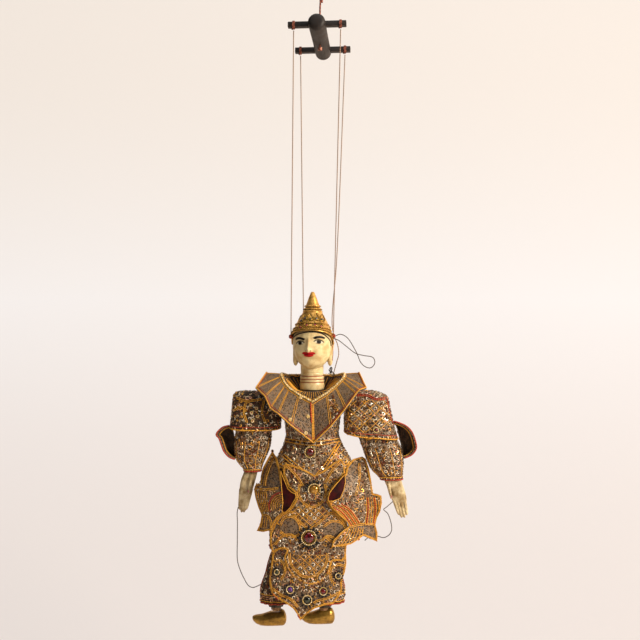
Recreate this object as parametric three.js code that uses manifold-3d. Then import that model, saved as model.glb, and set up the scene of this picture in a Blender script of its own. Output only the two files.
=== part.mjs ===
// Carved and costumed string puppet hanging from a two-bar control.
// Sizes are millimetres. Z is up, the figure faces -Y, and the origin is the top of the hanging loop.
// Left and right are the viewer's, facing the figure: left is -X.

import * as THREE from "three";
import { mergeVertices } from "three/addons/utils/BufferGeometryUtils.js";
import Module from "manifold-3d";

// Fits and stock thicknesses
const GAP = 0.3;
const CLOTH = 2.6;
const PADDED_CLOTH = 3.2;
const STRING = 1.6;
const HANGING_CORD = 3;
const THIN_CORD = 1.4;

// Control
const HANGING_LENGTH = 94;
const HANGING_LOOP = 15;
const HANDLE_LENGTH = 130;
const HANDLE_DIAMETER = 29;
const HANDLE_PITCH = 9.1;
const HANDLE_YAW = 5.6;
const BAR_LENGTH = 97;
const BAR_SECTION = 9;
const BAR_FROM_END = 15;
const KNOT_SPACING = 78;
const KNOT_WIDTH = 4;

// Figure levels, each measured down from the one above
const STRING_DROP = 574;
const NECK_TO_SHOULDER = 45;
const NECK_TO_WAIST = 110;
const NECK_TO_HIP = 180;
const THIGH_LENGTH = 108;
const SHIN_LENGTH = 106;
const ANKLE_HEIGHT = 27;

// Head and neck
const HEAD_X = -12.5;
const HEAD_Y = -2;
const HEAD_TURN = -11;
const HEAD_HALF_WIDTH = 33;
const HEAD_HALF_DEPTH = 36;
const HEAD_ABOVE = 38;
const HEAD_BELOW = 46;
const NECK_TO_EYES = 56;
const NECK_BALL = 15;
const NECK_RADIUS = 20.5;
const NECK_SPIGOT = 11;
const CROWN_HEIGHT = 90;

// Trunk
const TRUNK_X = -13;
const SHOULDER_SPREAD = 146;
const ROD = 3;
const HIP_LEFT_X = -42;
const HIP_RIGHT_X = 8;

// Limbs
const UPPER_ARM_LENGTH = 70;
const FOREARM_LENGTH = 68;
const HAND_LENGTH = 74;
const PIN = 1.8;
const TONGUE = 6;
const FORK_WIDTH = 17;
const FORK_RADIUS = 8;
const FORK_CROWN = 6;

// Levels worked out from the lengths
const handleZ = -HANGING_LENGTH;
const neckZ = handleZ - STRING_DROP;
const eyesZ = neckZ + NECK_TO_EYES;
const shoulderZ = neckZ - NECK_TO_SHOULDER;
const waistZ = neckZ - NECK_TO_WAIST;
const hipZ = neckZ - NECK_TO_HIP;
const kneeZ = hipZ - THIGH_LENGTH;
const ankleZ = kneeZ - SHIN_LENGTH;

// Finishes
const BLACK_WOOD = { color: 0x1c1714, roughness: 0.55, metalness: 0 };
const PALE_WOOD = { color: 0xd8cba6, roughness: 0.45, metalness: 0 };
const BARE_WOOD = { color: 0xa9825a, roughness: 0.7, metalness: 0 };
const GILT = { color: 0xb4862f, roughness: 0.35, metalness: 0.85 };
const SEQUIN_CLOTH = { color: 0x6e5638, roughness: 0.6, metalness: 0.2 };
const GOLD_CLOTH = { color: 0x9a6a24, roughness: 0.5, metalness: 0.35 };
const DARK_CLOTH = { color: 0x4c4034, roughness: 0.75, metalness: 0.1 };
const COTTON = { color: 0xa98a6c, roughness: 0.9, metalness: 0 };
const RED_COTTON = { color: 0x7c4433, roughness: 0.9, metalness: 0 };
const DARK_COTTON = { color: 0x4b4136, roughness: 0.9, metalness: 0 };
const GLASS_STONE = { color: 0x6d1720, roughness: 0.15, metalness: 0 };
const BRASS = { color: 0xb08d3c, roughness: 0.35, metalness: 0.9 };

const wasm = await Module();
wasm.setup();
const radians = THREE.MathUtils.degToRad;
const V = (x, y, z) => new THREE.Vector3(x, y, z);
const part = new THREE.Group();

function addPiece(name, geometry, finish) {
  const piece = new THREE.Mesh(geometry, new THREE.MeshStandardMaterial(finish));
  piece.name = name;
  part.add(piece);
  return piece;
}

// Booleans

function solidOf(geometry) {
  const bare = geometry.clone();
  bare.deleteAttribute("normal");
  bare.deleteAttribute("uv");
  const merged = mergeVertices(bare, 1e-4);
  return new wasm.Manifold(
    new wasm.Mesh({
      numProp: 3,
      vertProperties: merged.attributes.position.array,
      triVerts: new Uint32Array(merged.index.array),
    }),
  );
}

function geometryOf(solid) {
  const mesh = solid.getMesh();
  const geometry = new THREE.BufferGeometry();
  geometry.setAttribute("position", new THREE.BufferAttribute(mesh.vertProperties.slice(), 3));
  geometry.setIndex(new THREE.BufferAttribute(mesh.triVerts.slice(), 1));
  return geometry.toNonIndexed();
}

function join(...geometries) {
  return geometryOf(geometries.map(solidOf).reduce((all, next) => all.add(next)));
}

function cut(geometry, ...tools) {
  return geometryOf(tools.map(solidOf).reduce((left, tool) => left.subtract(tool), solidOf(geometry)));
}

// Closed bodies swept through loops of points. The ends are closed by a fan, by zipping the two long
// sides of a flat loop together, or by running the last loop on into the first.

function bodyFromLoops(loops, ends = "fan") {
  const count = loops[0].length;
  const rows = loops.length;
  const points = loops.flat();
  const index = [];
  const at = (row, column) => (row % rows) * count + (column % count);
  for (let r = 0; r < (ends === "ring" ? rows : rows - 1); r++) {
    for (let c = 0; c < count; c++) {
      const [a, b, d, e] = [at(r, c), at(r, c + 1), at(r + 1, c), at(r + 1, c + 1)];
      index.push(a, b, e, a, e, d);
    }
  }
  if (ends === "fan") {
    for (const row of [0, rows - 1]) {
      const centre = points.length;
      points.push(loops[row].reduce((sum, p) => sum.clone().add(p), V(0, 0, 0)).divideScalar(count));
      for (let c = 0; c < count; c++) {
        const edge = row === 0 ? [at(row, c + 1), at(row, c)] : [at(row, c), at(row, c + 1)];
        index.push(centre, ...edge);
      }
    }
  }
  if (ends === "zip") {
    for (const row of [0, rows - 1]) {
      for (let c = 0; c < count / 2 - 1; c++) {
        const [a, b, d, e] = [at(row, c), at(row, c + 1), at(row, count - 1 - c), at(row, count - 2 - c)];
        index.push(...(row === 0 ? [a, e, b, a, d, e] : [a, b, e, a, e, d]));
      }
    }
  }
  return facingOut(index.map((i) => points[i]));
}

function facingOut(corners) {
  let volume = 0;
  for (let i = 0; i < corners.length; i += 3) {
    volume += corners[i].dot(corners[i + 1].clone().cross(corners[i + 2]));
  }
  if (volume < 0) {
    for (let i = 0; i < corners.length; i += 3) {
      [corners[i], corners[i + 1]] = [corners[i + 1], corners[i]];
    }
  }
  const geometry = new THREE.BufferGeometry().setFromPoints(corners);
  geometry.computeVertexNormals();
  return geometry;
}

// A body turned round Z from pairs of radius and height

function turned(profile, sides) {
  const lathe = new THREE.LatheGeometry(profile.map(([r, z]) => new THREE.Vector2(r, z)), sides);
  const loose = lathe.rotateX(Math.PI / 2).toNonIndexed();
  const p = loose.attributes.position;
  return facingOut(Array.from({ length: p.count }, (_, i) => new THREE.Vector3().fromBufferAttribute(p, i)));
}

// Rows of numbers with smooth in-between rows

function smoothRows(rows, count) {
  const keys = Object.keys(rows[0]);
  const spline = (values, t) => {
    const s = t * (values.length - 1);
    const i = Math.min(Math.floor(s), values.length - 2);
    const [p0, p1, p2, p3] = [i - 1, i, i + 1, i + 2].map(
      (k) => values[THREE.MathUtils.clamp(k, 0, values.length - 1)],
    );
    const f = s - i;
    const tangents = [(p2 - p0) / 2, (p3 - p1) / 2];
    return (
      p1 * (1 + 2 * f) * (1 - f) ** 2 +
      tangents[0] * f * (1 - f) ** 2 +
      p2 * f * f * (3 - 2 * f) +
      tangents[1] * f * f * (f - 1)
    );
  };
  return Array.from({ length: count }, (_, k) =>
    Object.fromEntries(keys.map((key) => [key, spline(rows.map((row) => row[key]), k / (count - 1))])),
  );
}

// A superellipse of half-widths a and b in the plane z; lift raises single points by their angle

function oval({ x, y = 0, z, a, b, n = 2 }, sides, lift = () => 0) {
  const power = (value) => Math.sign(value) * Math.abs(value) ** (2 / n);
  return Array.from({ length: sides }, (_, i) => {
    const t = (i / sides) * 2 * Math.PI;
    return V(x + a * power(Math.cos(t)), y + b * power(Math.sin(t)), z + lift(t));
  });
}

function loft(rows, sides = 20, lift) {
  return bodyFromLoops(rows.map((row) => oval(row, sides, lift)));
}

// A tube of cloth, open at both ends; only the last row takes the lift

function clothTube(rows, wall, sides = 24, lift = () => 0) {
  const last = rows.length - 1;
  const skin = (inset) =>
    rows.map((row, i) =>
      oval({ ...row, a: row.a - inset, b: row.b - inset }, sides, (t) => lift(t) * (i / last) ** 4),
    );
  return bodyFromLoops([...skin(0), ...skin(wall).reverse()], "ring");
}

// A flat panel from its side edges: each station holds z, the left x and the right x

function clothPanel(stations, depthAt, { columns = 10, rows = 14, thickness = CLOTH } = {}) {
  const face = (row, shift) =>
    Array.from({ length: columns + 1 }, (_, i) => {
      const x = THREE.MathUtils.lerp(row.left, row.right, i / columns);
      return V(x, depthAt(x, row.z) + shift, row.z);
    });
  const loops = smoothRows(stations, rows).map((row) => [
    ...face(row, -thickness / 2),
    ...face(row, thickness / 2).reverse(),
  ]);
  return bodyFromLoops(loops, "zip");
}

// Round stock

function rodBetween(from, to, radius, endRadius = radius, sides = 12) {
  const axis = to.clone().sub(from);
  const rod = new THREE.CylinderGeometry(endRadius, radius, axis.length(), sides);
  rod.applyQuaternion(new THREE.Quaternion().setFromUnitVectors(V(0, 1, 0), axis.clone().normalize()));
  return rod.translate(...from.clone().add(to).divideScalar(2).toArray());
}

function crossRod(x, y, z, length, radius, sides = 12) {
  return rodBetween(V(x - length / 2, y, z), V(x + length / 2, y, z), radius, radius, sides);
}

function box(x, y, z, width, depth, height) {
  return new THREE.BoxGeometry(width, depth, height).translate(x, y, z);
}

function ball(centre, rx, ry = rx, rz = rx, across = 18) {
  return new THREE.SphereGeometry(1, across, Math.round(across * 0.6))
    .rotateX(Math.PI / 2)
    .scale(rx, ry, rz)
    .translate(centre.x, centre.y, centre.z);
}

function cord(points, diameter, steps, sides = 8) {
  const path =
    points.length === 2 ? new THREE.LineCurve3(...points) : new THREE.CatmullRomCurve3(points, false, "centripetal");
  const section = new THREE.Shape(
    Array.from({ length: sides }, (_, i) => {
      const t = (i / sides) * 2 * Math.PI;
      return new THREE.Vector2((Math.cos(t) * diameter) / 2, (Math.sin(t) * diameter) / 2);
    }),
  );
  return new THREE.ExtrudeGeometry(section, { steps, extrudePath: path });
}

// Control: a turned handle with two square bars through it, hung by a cord through its middle

const controlTurn = new THREE.Matrix4()
  .makeTranslation(0, 0, handleZ)
  .multiply(new THREE.Matrix4().makeRotationZ(radians(-HANDLE_YAW)))
  .multiply(new THREE.Matrix4().makeRotationX(radians(-HANDLE_PITCH)));
const handleRadius = HANDLE_DIAMETER / 2;
const onControl = (geometry) => geometry.applyMatrix4(controlTurn);
const barAt = { front: BAR_FROM_END - HANDLE_LENGTH / 2, rear: HANDLE_LENGTH / 2 - BAR_FROM_END };

function makeControl() {
  const half = HANDLE_LENGTH / 2;
  const profile = [
    [0, -half],
    [handleRadius * 0.72, -half],
    [handleRadius * 0.94, -half + 3],
    [handleRadius, -half + 8],
    [handleRadius * 0.97, -half * 0.4],
    [handleRadius * 0.95, half * 0.4],
    [handleRadius * 0.97, half - 8],
    [handleRadius * 0.9, half - 3],
    [handleRadius * 0.7, half],
    [0, half],
  ];
  const handle = turned(profile, 20).rotateX(Math.PI / 2);
  const slot = BAR_SECTION + 2 * GAP;
  const slots = Object.values(barAt).map((y) => box(0, y, 0, HANDLE_DIAMETER * 2, slot, slot));
  const hole = rodBetween(V(0, 0, -HANDLE_DIAMETER), V(0, 0, HANDLE_DIAMETER), HANGING_CORD / 2 + GAP);
  hole.rotateX(radians(HANDLE_PITCH));
  addPiece("control_handle", onControl(cut(handle, ...slots, hole)), BLACK_WOOD);
  const ringInner = (BAR_SECTION / 2) * Math.SQRT2 + GAP;
  const ringProfile = [
    [ringInner, -KNOT_WIDTH / 2],
    [ringInner + 1.6, -KNOT_WIDTH / 2],
    [ringInner + 2.2, 0],
    [ringInner + 1.6, KNOT_WIDTH / 2],
    [ringInner, KNOT_WIDTH / 2],
    [ringInner, -KNOT_WIDTH / 2],
  ];
  for (const [place, y] of Object.entries(barAt)) {
    addPiece(`${place}_bar`, onControl(box(0, y, 0, BAR_LENGTH, BAR_SECTION, BAR_SECTION)), BLACK_WOOD);
    for (const [side, sign] of [["left", -1], ["right", 1]]) {
      const knot = turned(ringProfile, 12).rotateY(Math.PI / 2);
      knot.translate((sign * KNOT_SPACING) / 2, y, 0);
      addPiece(`knot_${place}_${side}`, onControl(knot), RED_COTTON);
    }
  }
  const knotZ = handleZ - handleRadius - 3.6;
  const loop = HANGING_LOOP / 2;
  const strand = HANGING_CORD + 0.5;
  const path = [
    V(0, 0, knotZ + 2.8),
    V(0, 0, handleZ),
    V(0, 0, handleZ / 2),
    V(0, 0, -3.4 * loop),
    V(-loop, 0, -1.6 * loop),
    V(-0.8 * loop, 0, -0.4 * loop),
    V(0, 0, 0),
    V(0.8 * loop, 0, -0.4 * loop),
    V(loop, 0, -1.6 * loop),
    V(strand, 0, -3.3 * loop),
    V(strand, 0, -4.6 * loop),
  ];
  addPiece("hanging_cord", cord(path, HANGING_CORD, 28), RED_COTTON);
  addPiece("hanging_knot", ball(V(0, 0, knotZ - 1), 4.4, 4, 3.2, 12), RED_COTTON);
}

function barKnot(place, side) {
  const sign = side === "left" ? -1 : 1;
  return V((sign * KNOT_SPACING) / 2, barAt[place], 0).applyMatrix4(controlTurn);
}

// Head: an egg carved with a face by adding small rises and hollows to it

const headMatrix = new THREE.Matrix4()
  .makeTranslation(HEAD_X, HEAD_Y, eyesZ)
  .multiply(new THREE.Matrix4().makeRotationZ(radians(HEAD_TURN)));
const bump = (distance, width) => Math.exp(-((distance / width) ** 2));

function faceRelief(across, up) {
  const nose = 6.5 * bump(across, 3.4) * bump(up + 10, 7) + 1.6 * bump(across, 3) * bump(up - 2, 9);
  const nostrils = 2.4 * bump(Math.abs(across) - 4.2, 2.6) * bump(up + 12.5, 3);
  const brows = 1.3 * bump(Math.abs(across) - 12, 9) * bump(up - 8.5, 3.4);
  const sockets = -2.2 * bump(Math.abs(across) - 13.5, 7.5) * bump(up - 1, 4.5);
  const eyeballs = 1.5 * bump(Math.abs(across) - 13.5, 5.2) * bump(up, 2.6);
  const cheeks = 1.7 * bump(Math.abs(across) - 18, 8) * bump(up + 16, 8);
  const lips = 1.9 * bump(across, 9) * (bump(up + 19.4, 2) + bump(up + 23.2, 2));
  const chin = 3 * bump(across, 8) * bump(up + 36, 7);
  return nose + nostrils + brows + sockets + eyeballs + cheeks + lips + chin;
}

function headHalf(z) {
  const span = z > 0 ? HEAD_ABOVE : HEAD_BELOW;
  const rise = Math.min(Math.abs(z) / span, 1);
  return Math.max(1 - rise ** 2.2, 0) ** 0.55;
}

function makeHead() {
  const rows = 20;
  const sides = 32;
  const loops = Array.from({ length: rows }, (_, r) => {
    const angle = (Math.PI * (r + 0.6)) / (rows + 0.2);
    const z = Math.cos(angle) > 0 ? HEAD_ABOVE * Math.cos(angle) : HEAD_BELOW * Math.cos(angle);
    const size = headHalf(z);
    const forward = z < 0 ? -4 * (z / HEAD_BELOW) ** 2 : 0;
    return Array.from({ length: sides }, (_, i) => {
      const t = (i / sides) * 2 * Math.PI;
      const x = HEAD_HALF_WIDTH * size * Math.cos(t);
      const facing = Math.max(-Math.sin(t), 0);
      const relief = facing > 0 ? faceRelief(x, z) * Math.min(1, facing * 1.6) : 0;
      return V(x, HEAD_HALF_DEPTH * size * Math.sin(t) + forward - relief, z);
    });
  });
  const egg = bodyFromLoops(loops);
  const ears = [-1, 1].flatMap((side) => [
    ball(V(side * (HEAD_HALF_WIDTH - 1), 5, -8), 3.2, 7, 12, 10),
    ball(V(side * (HEAD_HALF_WIDTH - 2.6), 4, -28), 2.8, 4.6, 13, 10),
  ]);
  const throat = rodBetween(V(0, 6, -NECK_TO_EYES + 4.5), V(0, 4, -26), NECK_RADIUS - 1.5, NECK_RADIUS - 2, 18);
  const placed = join(egg, ...ears, throat).applyMatrix4(headMatrix);
  const socket = ball(neckCentre, NECK_BALL + 2 * GAP, NECK_BALL + 2 * GAP, NECK_BALL + 2 * GAP, 18);
  addPiece("head", cut(placed, socket), PALE_WOOD);
}

// Crown: a stepped cone over the head, its brim arched above the brows

const CROWN_STEPS = [
  [0.02, 0],
  [0.12, 0.05],
  [0.34, 0.25],
  [0.38, 0.27],
  [0.38, 0.3],
  [0.44, 0.33],
  [0.5, 0.36],
  [0.54, 0.43],
  [0.72, 0.55],
  [0.86, 0.66],
  [0.98, 0.78],
  [1.05, 0.87],
  [1.09, 0.94],
  [1.1, 1],
];

function makeCrown() {
  const sides = 26;
  const top = HEAD_ABOVE + 48;
  const brim = (t) => Math.max(-Math.sin(t), 0) ** 2;
  const outer = CROWN_STEPS.map(([share, down]) =>
    Array.from({ length: sides }, (_, i) => {
      const t = (i / sides) * 2 * Math.PI;
      const z = top - CROWN_HEIGHT * down + 16 * brim(t) * down ** 5;
      return V(
        HEAD_HALF_WIDTH * share * Math.cos(t),
        (HEAD_HALF_WIDTH + (HEAD_HALF_DEPTH - HEAD_HALF_WIDTH) * down) * share * Math.sin(t),
        z,
      );
    }),
  );
  const grow = 3 * GAP;
  const hollow = Array.from({ length: 9 }, (_, r) => {
    const z = HEAD_ABOVE * Math.cos((Math.PI / 2) * ((r + 0.5) / 7.5));
    const size = headHalf(z);
    return Array.from({ length: sides }, (_, i) => {
      const t = (i / sides) * 2 * Math.PI;
      const brow = 1.6 * Math.max(-Math.sin(t), 0);
      return V(
        (HEAD_HALF_WIDTH * size + grow) * Math.cos(t),
        (HEAD_HALF_DEPTH * size + grow + brow) * Math.sin(t),
        r === 0 ? z + 1 : z < 2 ? -12 : z + 0.6,
      );
    });
  });
  const ears = [-1, 1].map((side) => ball(V(side * (HEAD_HALF_WIDTH - 1), 5, -8), 3.8, 7.6, 12.6, 12));
  const crown = cut(bodyFromLoops(outer), bodyFromLoops(hollow), ...ears);
  addPiece("crown", crown.applyMatrix4(headMatrix), GILT);
}

// Neck: ringed column on a spigot, with a ball that the head nods and turns on

const neckCentre = V(HEAD_X - 1, 4, neckZ);

function makeNeck() {
  const bottom = -24;
  const shoulder = -9;
  const profile = [[0, bottom - 18], [NECK_SPIGOT, bottom - 18], [NECK_SPIGOT, bottom]];
  const rings = 3;
  for (let k = 0; k < rings; k++) {
    const low = bottom + ((shoulder - bottom) / rings) * k;
    const high = low + (shoulder - bottom) / rings;
    profile.push([NECK_RADIUS - 1.2, low + 0.01], [NECK_RADIUS + 0.4, low + 1.4]);
    profile.push([NECK_RADIUS + 0.4, high - 1.4], [NECK_RADIUS - 1.2, high - 0.4]);
  }
  profile.push([NECK_BALL * 0.86, shoulder]);
  for (let k = 0; k <= 6; k++) {
    const t = radians(-30 + (120 * k) / 6);
    profile.push([k === 6 ? 0 : NECK_BALL * Math.cos(t), NECK_BALL * Math.sin(t)]);
  }
  addPiece("neck", turned(profile, 18).translate(...neckCentre.toArray()), PALE_WOOD);
}

// Things that hang from the head: knots, ear tassel, loose loop

const templeKnots = {
  left: V(-49.1, -10, neckZ + 66),
  right: V(22.6, -12, neckZ + 67),
};

function makeHeadTrim() {
  for (const [side, at] of Object.entries(templeKnots)) {
    addPiece(`temple_knot_${side}`, ball(at, 2.4, 2.4, 3, 10), RED_COTTON);
  }
  const lobe = V(18.1, -3.9, neckZ + 14.6);
  const profile = [
    [0, 0],
    [1.2, -0.4],
    [1.4, -5],
    [3, -7],
    [3.2, -12],
    [2.2, -14],
    [3.4, -17],
    [2.6, -23],
    [0, -24],
  ];
  addPiece("ear_tassel", turned(profile, 10).translate(lobe.x, lobe.y, lobe.z), DARK_COTTON);
  const loop = [
    [26, 67, -12],
    [34, 70, -16.5],
    [45, 65, -20],
    [61, 40, -20],
    [69, 22, -20],
    [78, 14.5, -20],
    [86, 14, -21],
    [92, 22, -22],
    [89, 31, -23],
    [73, 34.5, -23],
    [60, 38, -23.5],
    [44, 50, -23.5],
    [31, 60, -19],
    [23.2, 62.6, -12.5],
  ].map(([x, up, y]) => V(x, y, neckZ + up));
  addPiece("string_loop", cord(loop, THIN_CORD, 34), DARK_COTTON);
}

// Long strings, taut between the bars and the figure

const stringFrom = (place, side) => barKnot(place, side).add(V(0, 0, -(BAR_SECTION * 0.707 + 2.2 + 2 * GAP)));

function makeStrings() {
  for (const side of ["left", "right"]) {
    const top = stringFrom("front", side);
    const end = templeKnots[side].clone().add(V(0, 0, 3 + GAP));
    addPiece(`temple_string_${side}`, cord([top, end], STRING, 8), COTTON);
  }
  const back = [
    stringFrom("rear", "left"),
    V(-28.5, 40, neckZ + 90),
    V(-27, 33.5, neckZ + 25),
    V(-27, 32, neckZ + 0.9),
  ];
  addPiece("shoulder_string_left", cord(back, STRING, 24), COTTON);
  const caught = [
    stringFrom("rear", "right"),
    V(29, 30, neckZ + 200),
    V(21, 20, neckZ + 84),
    V(25.5, 12, neckZ + 64),
    V(30, 9.5, neckZ + 52),
    V(32, 10, neckZ + 36),
    V(27.5, 16, neckZ + 18),
    V(23, 25.6, neckZ + 0.6),
  ];
  addPiece("shoulder_string_right", cord(caught, STRING, 32), COTTON);
}

// Trunk under the costume

function makeTrunk() {
  const below = (dz, a, b) => ({ x: TRUNK_X, z: neckZ + dz, a, b, n: 2.2 });
  const rows = [
    below(-26, 21, 14),
    below(-30, 23.5, 15),
    below(-38, 38.5, 18.5),
    below(-57, 42.4, 24.5),
    below(-77, 41.4, 26.4),
    below(-100, 40.8, 25),
    below(-125, 44, 27),
    below(-150, 45, 26),
    below(-166, 45, 26),
  ];
  const lug = rodBetween(V(-25, 0, hipZ), V(-9, 0, hipZ), 11, 11, 16);
  const web = box(-17, 0, hipZ + 10, 16, 22, 18);
  const spigot = rodBetween(
    V(neckCentre.x, neckCentre.y, neckZ - 43),
    V(neckCentre.x, neckCentre.y, neckZ - 20),
    NECK_SPIGOT + 2 * GAP,
    NECK_SPIGOT + 2 * GAP,
    18,
  );
  const shoulderBore = crossRod(TRUNK_X, 0, shoulderZ, 200, ROD + GAP);
  const hipBore = crossRod(TRUNK_X, 0, hipZ, 200, ROD + GAP);
  addPiece("torso_block", cut(join(loft(rows, 20), lug, web), spigot, shoulderBore, hipBore), BARE_WOOD);
  addPiece("shoulder_rod", crossRod(TRUNK_X, 0, shoulderZ, SHOULDER_SPREAD + 26, ROD), BARE_WOOD);
  addPiece("hip_rod", crossRod((HIP_LEFT_X + HIP_RIGHT_X) / 2, 0, hipZ, 72, ROD), BARE_WOOD);
}

// Jacket with its peplum, and the hip lining beneath it

const frontness = (t) => Math.max(-Math.sin(t), 0);

function makeJacket() {
  const below = (dz, a, b, x = TRUNK_X) => ({ x, y: 0, z: neckZ + dz, a, b, n: 2.3 });
  const rows = smoothRows(
    [
      below(-28.5, 27.5, 18.4),
      below(-38, 46, 24),
      below(-57, 49, 30),
      below(-77, 47, 31.5),
      below(-100, 44.8, 28.8),
      below(-117, 50, 32, -12),
      below(-136, 60, 37, -11),
      below(-154, 68, 42, -10.5),
    ],
    10,
  );
  const jacket = clothTube(rows, CLOTH, 28, (t) => -21 * frontness(t) ** 6);
  const rodHole = crossRod(TRUNK_X, 0, shoulderZ, 200, ROD + GAP);
  addPiece("jacket", cut(jacket, rodHole), SEQUIN_CLOTH);
  const hip = (dz, a, b, x) => ({ x, y: 0, z: neckZ + dz, a, b, n: 2.3 });
  const lining = smoothRows(
    [
      hip(-152, 48.6, 29.6, TRUNK_X),
      hip(-160, 58, 35, -14),
      hip(-185, 64, 41, -17),
      hip(-230, 65, 43, -20),
      hip(-292, 64, 42, -21),
    ],
    6,
  );
  addPiece("hip_skirt", clothTube(lining, CLOTH, 20), DARK_CLOTH);
}

// Collar: stiff petals radiating from the neckline, built on three closed lines of twelve corners

function makeCollar() {
  const neckline = Array.from({ length: 12 }, (_, i) => {
    const t = -Math.PI / 2 + (i / 12) * 2 * Math.PI;
    return V(neckCentre.x + 24.5 * Math.cos(t), 2 + 24.5 * Math.sin(t), neckZ - 25.7);
  });
  const braid = [
    [-13, -33, -42], [16, -31, -22], [41, -14, -3], [41, 4, -1], [30, 22, -1], [10, 30, 0],
    [-13, 33, 0], [-36, 31, 0], [-56, 22, -1], [-66, 4, -1], [-63, -14, -4], [-39, -31, -24],
  ].map(([x, y, up]) => V(x, y, neckZ + up));
  const edge = [
    [-9, -40, -115], [32, -47, -77], [55, -45, -46], [77, -26, -23], [68, 0, 4], [62, 26, -12],
    [-13, 42, -64], [-84, 26, -14], [-92, 0, 6], [-109, -26, -22], [-76, -46, -61], [-56, -48, -75],
  ].map(([x, y, up]) => V(x, y, neckZ + up));
  const around = (line, perSide = 3) =>
    line.flatMap((p, i) =>
      Array.from({ length: perSide }, (_, k) => p.clone().lerp(line[(i + 1) % line.length], k / perSide)),
    );
  const [a, b, c] = [neckline, braid, edge].map((line) => around(line));
  const between = (from, to, share) => from.map((p, i) => p.clone().lerp(to[i], share));
  const top = [a, between(a, b, 0.5), b, between(b, c, 0.35), between(b, c, 0.7), c];
  const under = top.map((line) => line.map((p) => p.clone().add(V(0, p.y < 0 ? 1.6 : -0.6, -2))));
  addPiece("collar", bodyFromLoops([...top, ...under.reverse()], "ring"), SEQUIN_CLOTH);
}

// Depth of the cloth that lies over the hips: an oval of half-widths a and b round the trunk

function hipDepth(x, z) {
  const down = THREE.MathUtils.clamp((neckZ - 130 - z) / 60, 0, 1);
  const a = THREE.MathUtils.lerp(62, 102, down);
  const b = THREE.MathUtils.lerp(31, 60, down);
  return -b * Math.sqrt(Math.max(1 - ((x + 11.5) / a) ** 2, 0.02));
}

const station = (dz, left, right) => ({ z: neckZ + dz, left, right });

function makeApron() {
  const hang = (z) => 9.5 * (1 - THREE.MathUtils.smoothstep(neckZ - z, 175, 205));
  const depth = (x, z = -1e3) => -51.5 + hang(z) + 0.0022 * (x + 13) ** 2;
  const upper = [
    station(-175.8, -54, 30),
    station(-194, -52, 24),
    station(-210, -43, 15),
    station(-224, -48, 15),
    station(-238, -60, 26),
    station(-256, -62, 34),
    station(-272, -55, 32),
    station(-286, -30, 12),
  ];
  addPiece("front_apron", clothPanel(upper, depth, { columns: 8, rows: 13 }), SEQUIN_CLOTH);
  const lower = [
    station(-272, -60, 34),
    station(-290, -60, 36),
    station(-308, -60, 40),
    station(-342, -78, 41),
    station(-358, -80, 43),
    station(-373, -77, 36),
    station(-388, -58, 22),
    station(-397, -49, -8),
    station(-416, -36, -33),
  ];
  const behind = (x, z) => depth(x, z) + CLOTH + 2 * GAP - 3 * THREE.MathUtils.smoothstep(neckZ - z, 290, 330);
  addPiece("lower_apron", clothPanel(lower, behind, { columns: 8, rows: 13 }), SEQUIN_CLOTH);
  const seat = CLOTH / 2 + GAP;
  addMedallion("apron_medallion_upper", V(-9.4, depth(-9.4, neckZ - 201) - seat - 0.4, neckZ - 195), 10, GILT);
  addMedallion("apron_medallion_lower", V(-18.7, depth(-18.7) - seat, neckZ - 276), 10, GLASS_STONE);
}

// A domed medallion facing the viewer, its flat back on the cloth

function addMedallion(name, back, radius, finish) {
  const profile = [
    [0, 0],
    [radius, 0],
    [radius, 1.4],
    [radius * 0.82, 2.2],
    [radius * 0.68, 1.5],
    [radius * 0.6, 3],
    [radius * 0.35, 4.4],
    [0, 5],
  ];
  const dome = turned(profile, 14).rotateX(Math.PI / 2);
  addPiece(name, dome.translate(back.x, back.y, back.z), finish);
}

function makeSideFlaps() {
  const left = [
    station(-134, -75, -67.2),
    station(-162, -96, -70),
    station(-195, -109, -57),
    station(-212, -107, -50),
    station(-232, -101, -62),
    station(-257, -103, -69),
    station(-265, -107, -67),
    station(-268, -88, -64),
    station(-284, -68, -60),
  ];
  const right = [
    station(-134, 46.7, 54),
    station(-150, 47, 66),
    station(-171, 42, 74),
    station(-190, 32, 86),
    station(-203, 20, 96),
    station(-224, 24, 98),
    station(-244, 34, 96),
    station(-262, 38, 95),
    station(-278, 20, 94),
    station(-288, 19, 50),
  ];
  const style = { columns: 8, rows: 16, thickness: PADDED_CLOTH };
  addPiece("side_flap_left", clothPanel(left, hipDepth, style), GOLD_CLOTH);
  addPiece("side_flap_right", clothPanel(right, hipDepth, style), GOLD_CLOTH);
}

// Jointed limbs. A fork hangs under the upper pivot piece and a tongue turns in it on a pin along X.

function forkBlock(at, width = FORK_WIDTH, radius = FORK_RADIUS) {
  const height = radius + FORK_CROWN;
  return join(
    crossRod(at.x, at.y, at.z, width, radius),
    box(at.x, at.y, at.z + height / 2, width, radius * 1.7, height),
  );
}

function forkCuts(at, radius = FORK_RADIUS) {
  const slot = TONGUE + 2 * GAP;
  const high = radius + 1.4;
  return [
    box(at.x, at.y, at.z + (high - 30) / 2, slot, 60, high + 30),
    crossRod(at.x, at.y, at.z, 60, PIN + GAP),
  ];
}

function tongueOn(at, shaftTo, topRadius, bottomRadius) {
  const neckEnd = V(at.x, at.y, at.z - FORK_RADIUS - 3.5);
  return [
    crossRod(at.x, at.y, at.z, TONGUE, FORK_RADIUS - 0.6),
    rodBetween(at, neckEnd, TONGUE / 2 - 0.1, TONGUE / 2 - 0.1, 8),
    rodBetween(neckEnd.clone().add(V(0, 0, 1)), shaftTo, topRadius, bottomRadius, 10),
  ];
}

const along = (from, length, lean) =>
  V(from.x + length * Math.sin(radians(lean)), from.y, from.z - length * Math.cos(radians(lean)));

// Arms. Leans are degrees towards +X from straight down.

const ARMS = {
  left: { side: -1, upperLean: -44, foreLean: 15, handLean: -12 },
  right: { side: 1, upperLean: 33, foreLean: 20, handLean: 15 },
};

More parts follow.
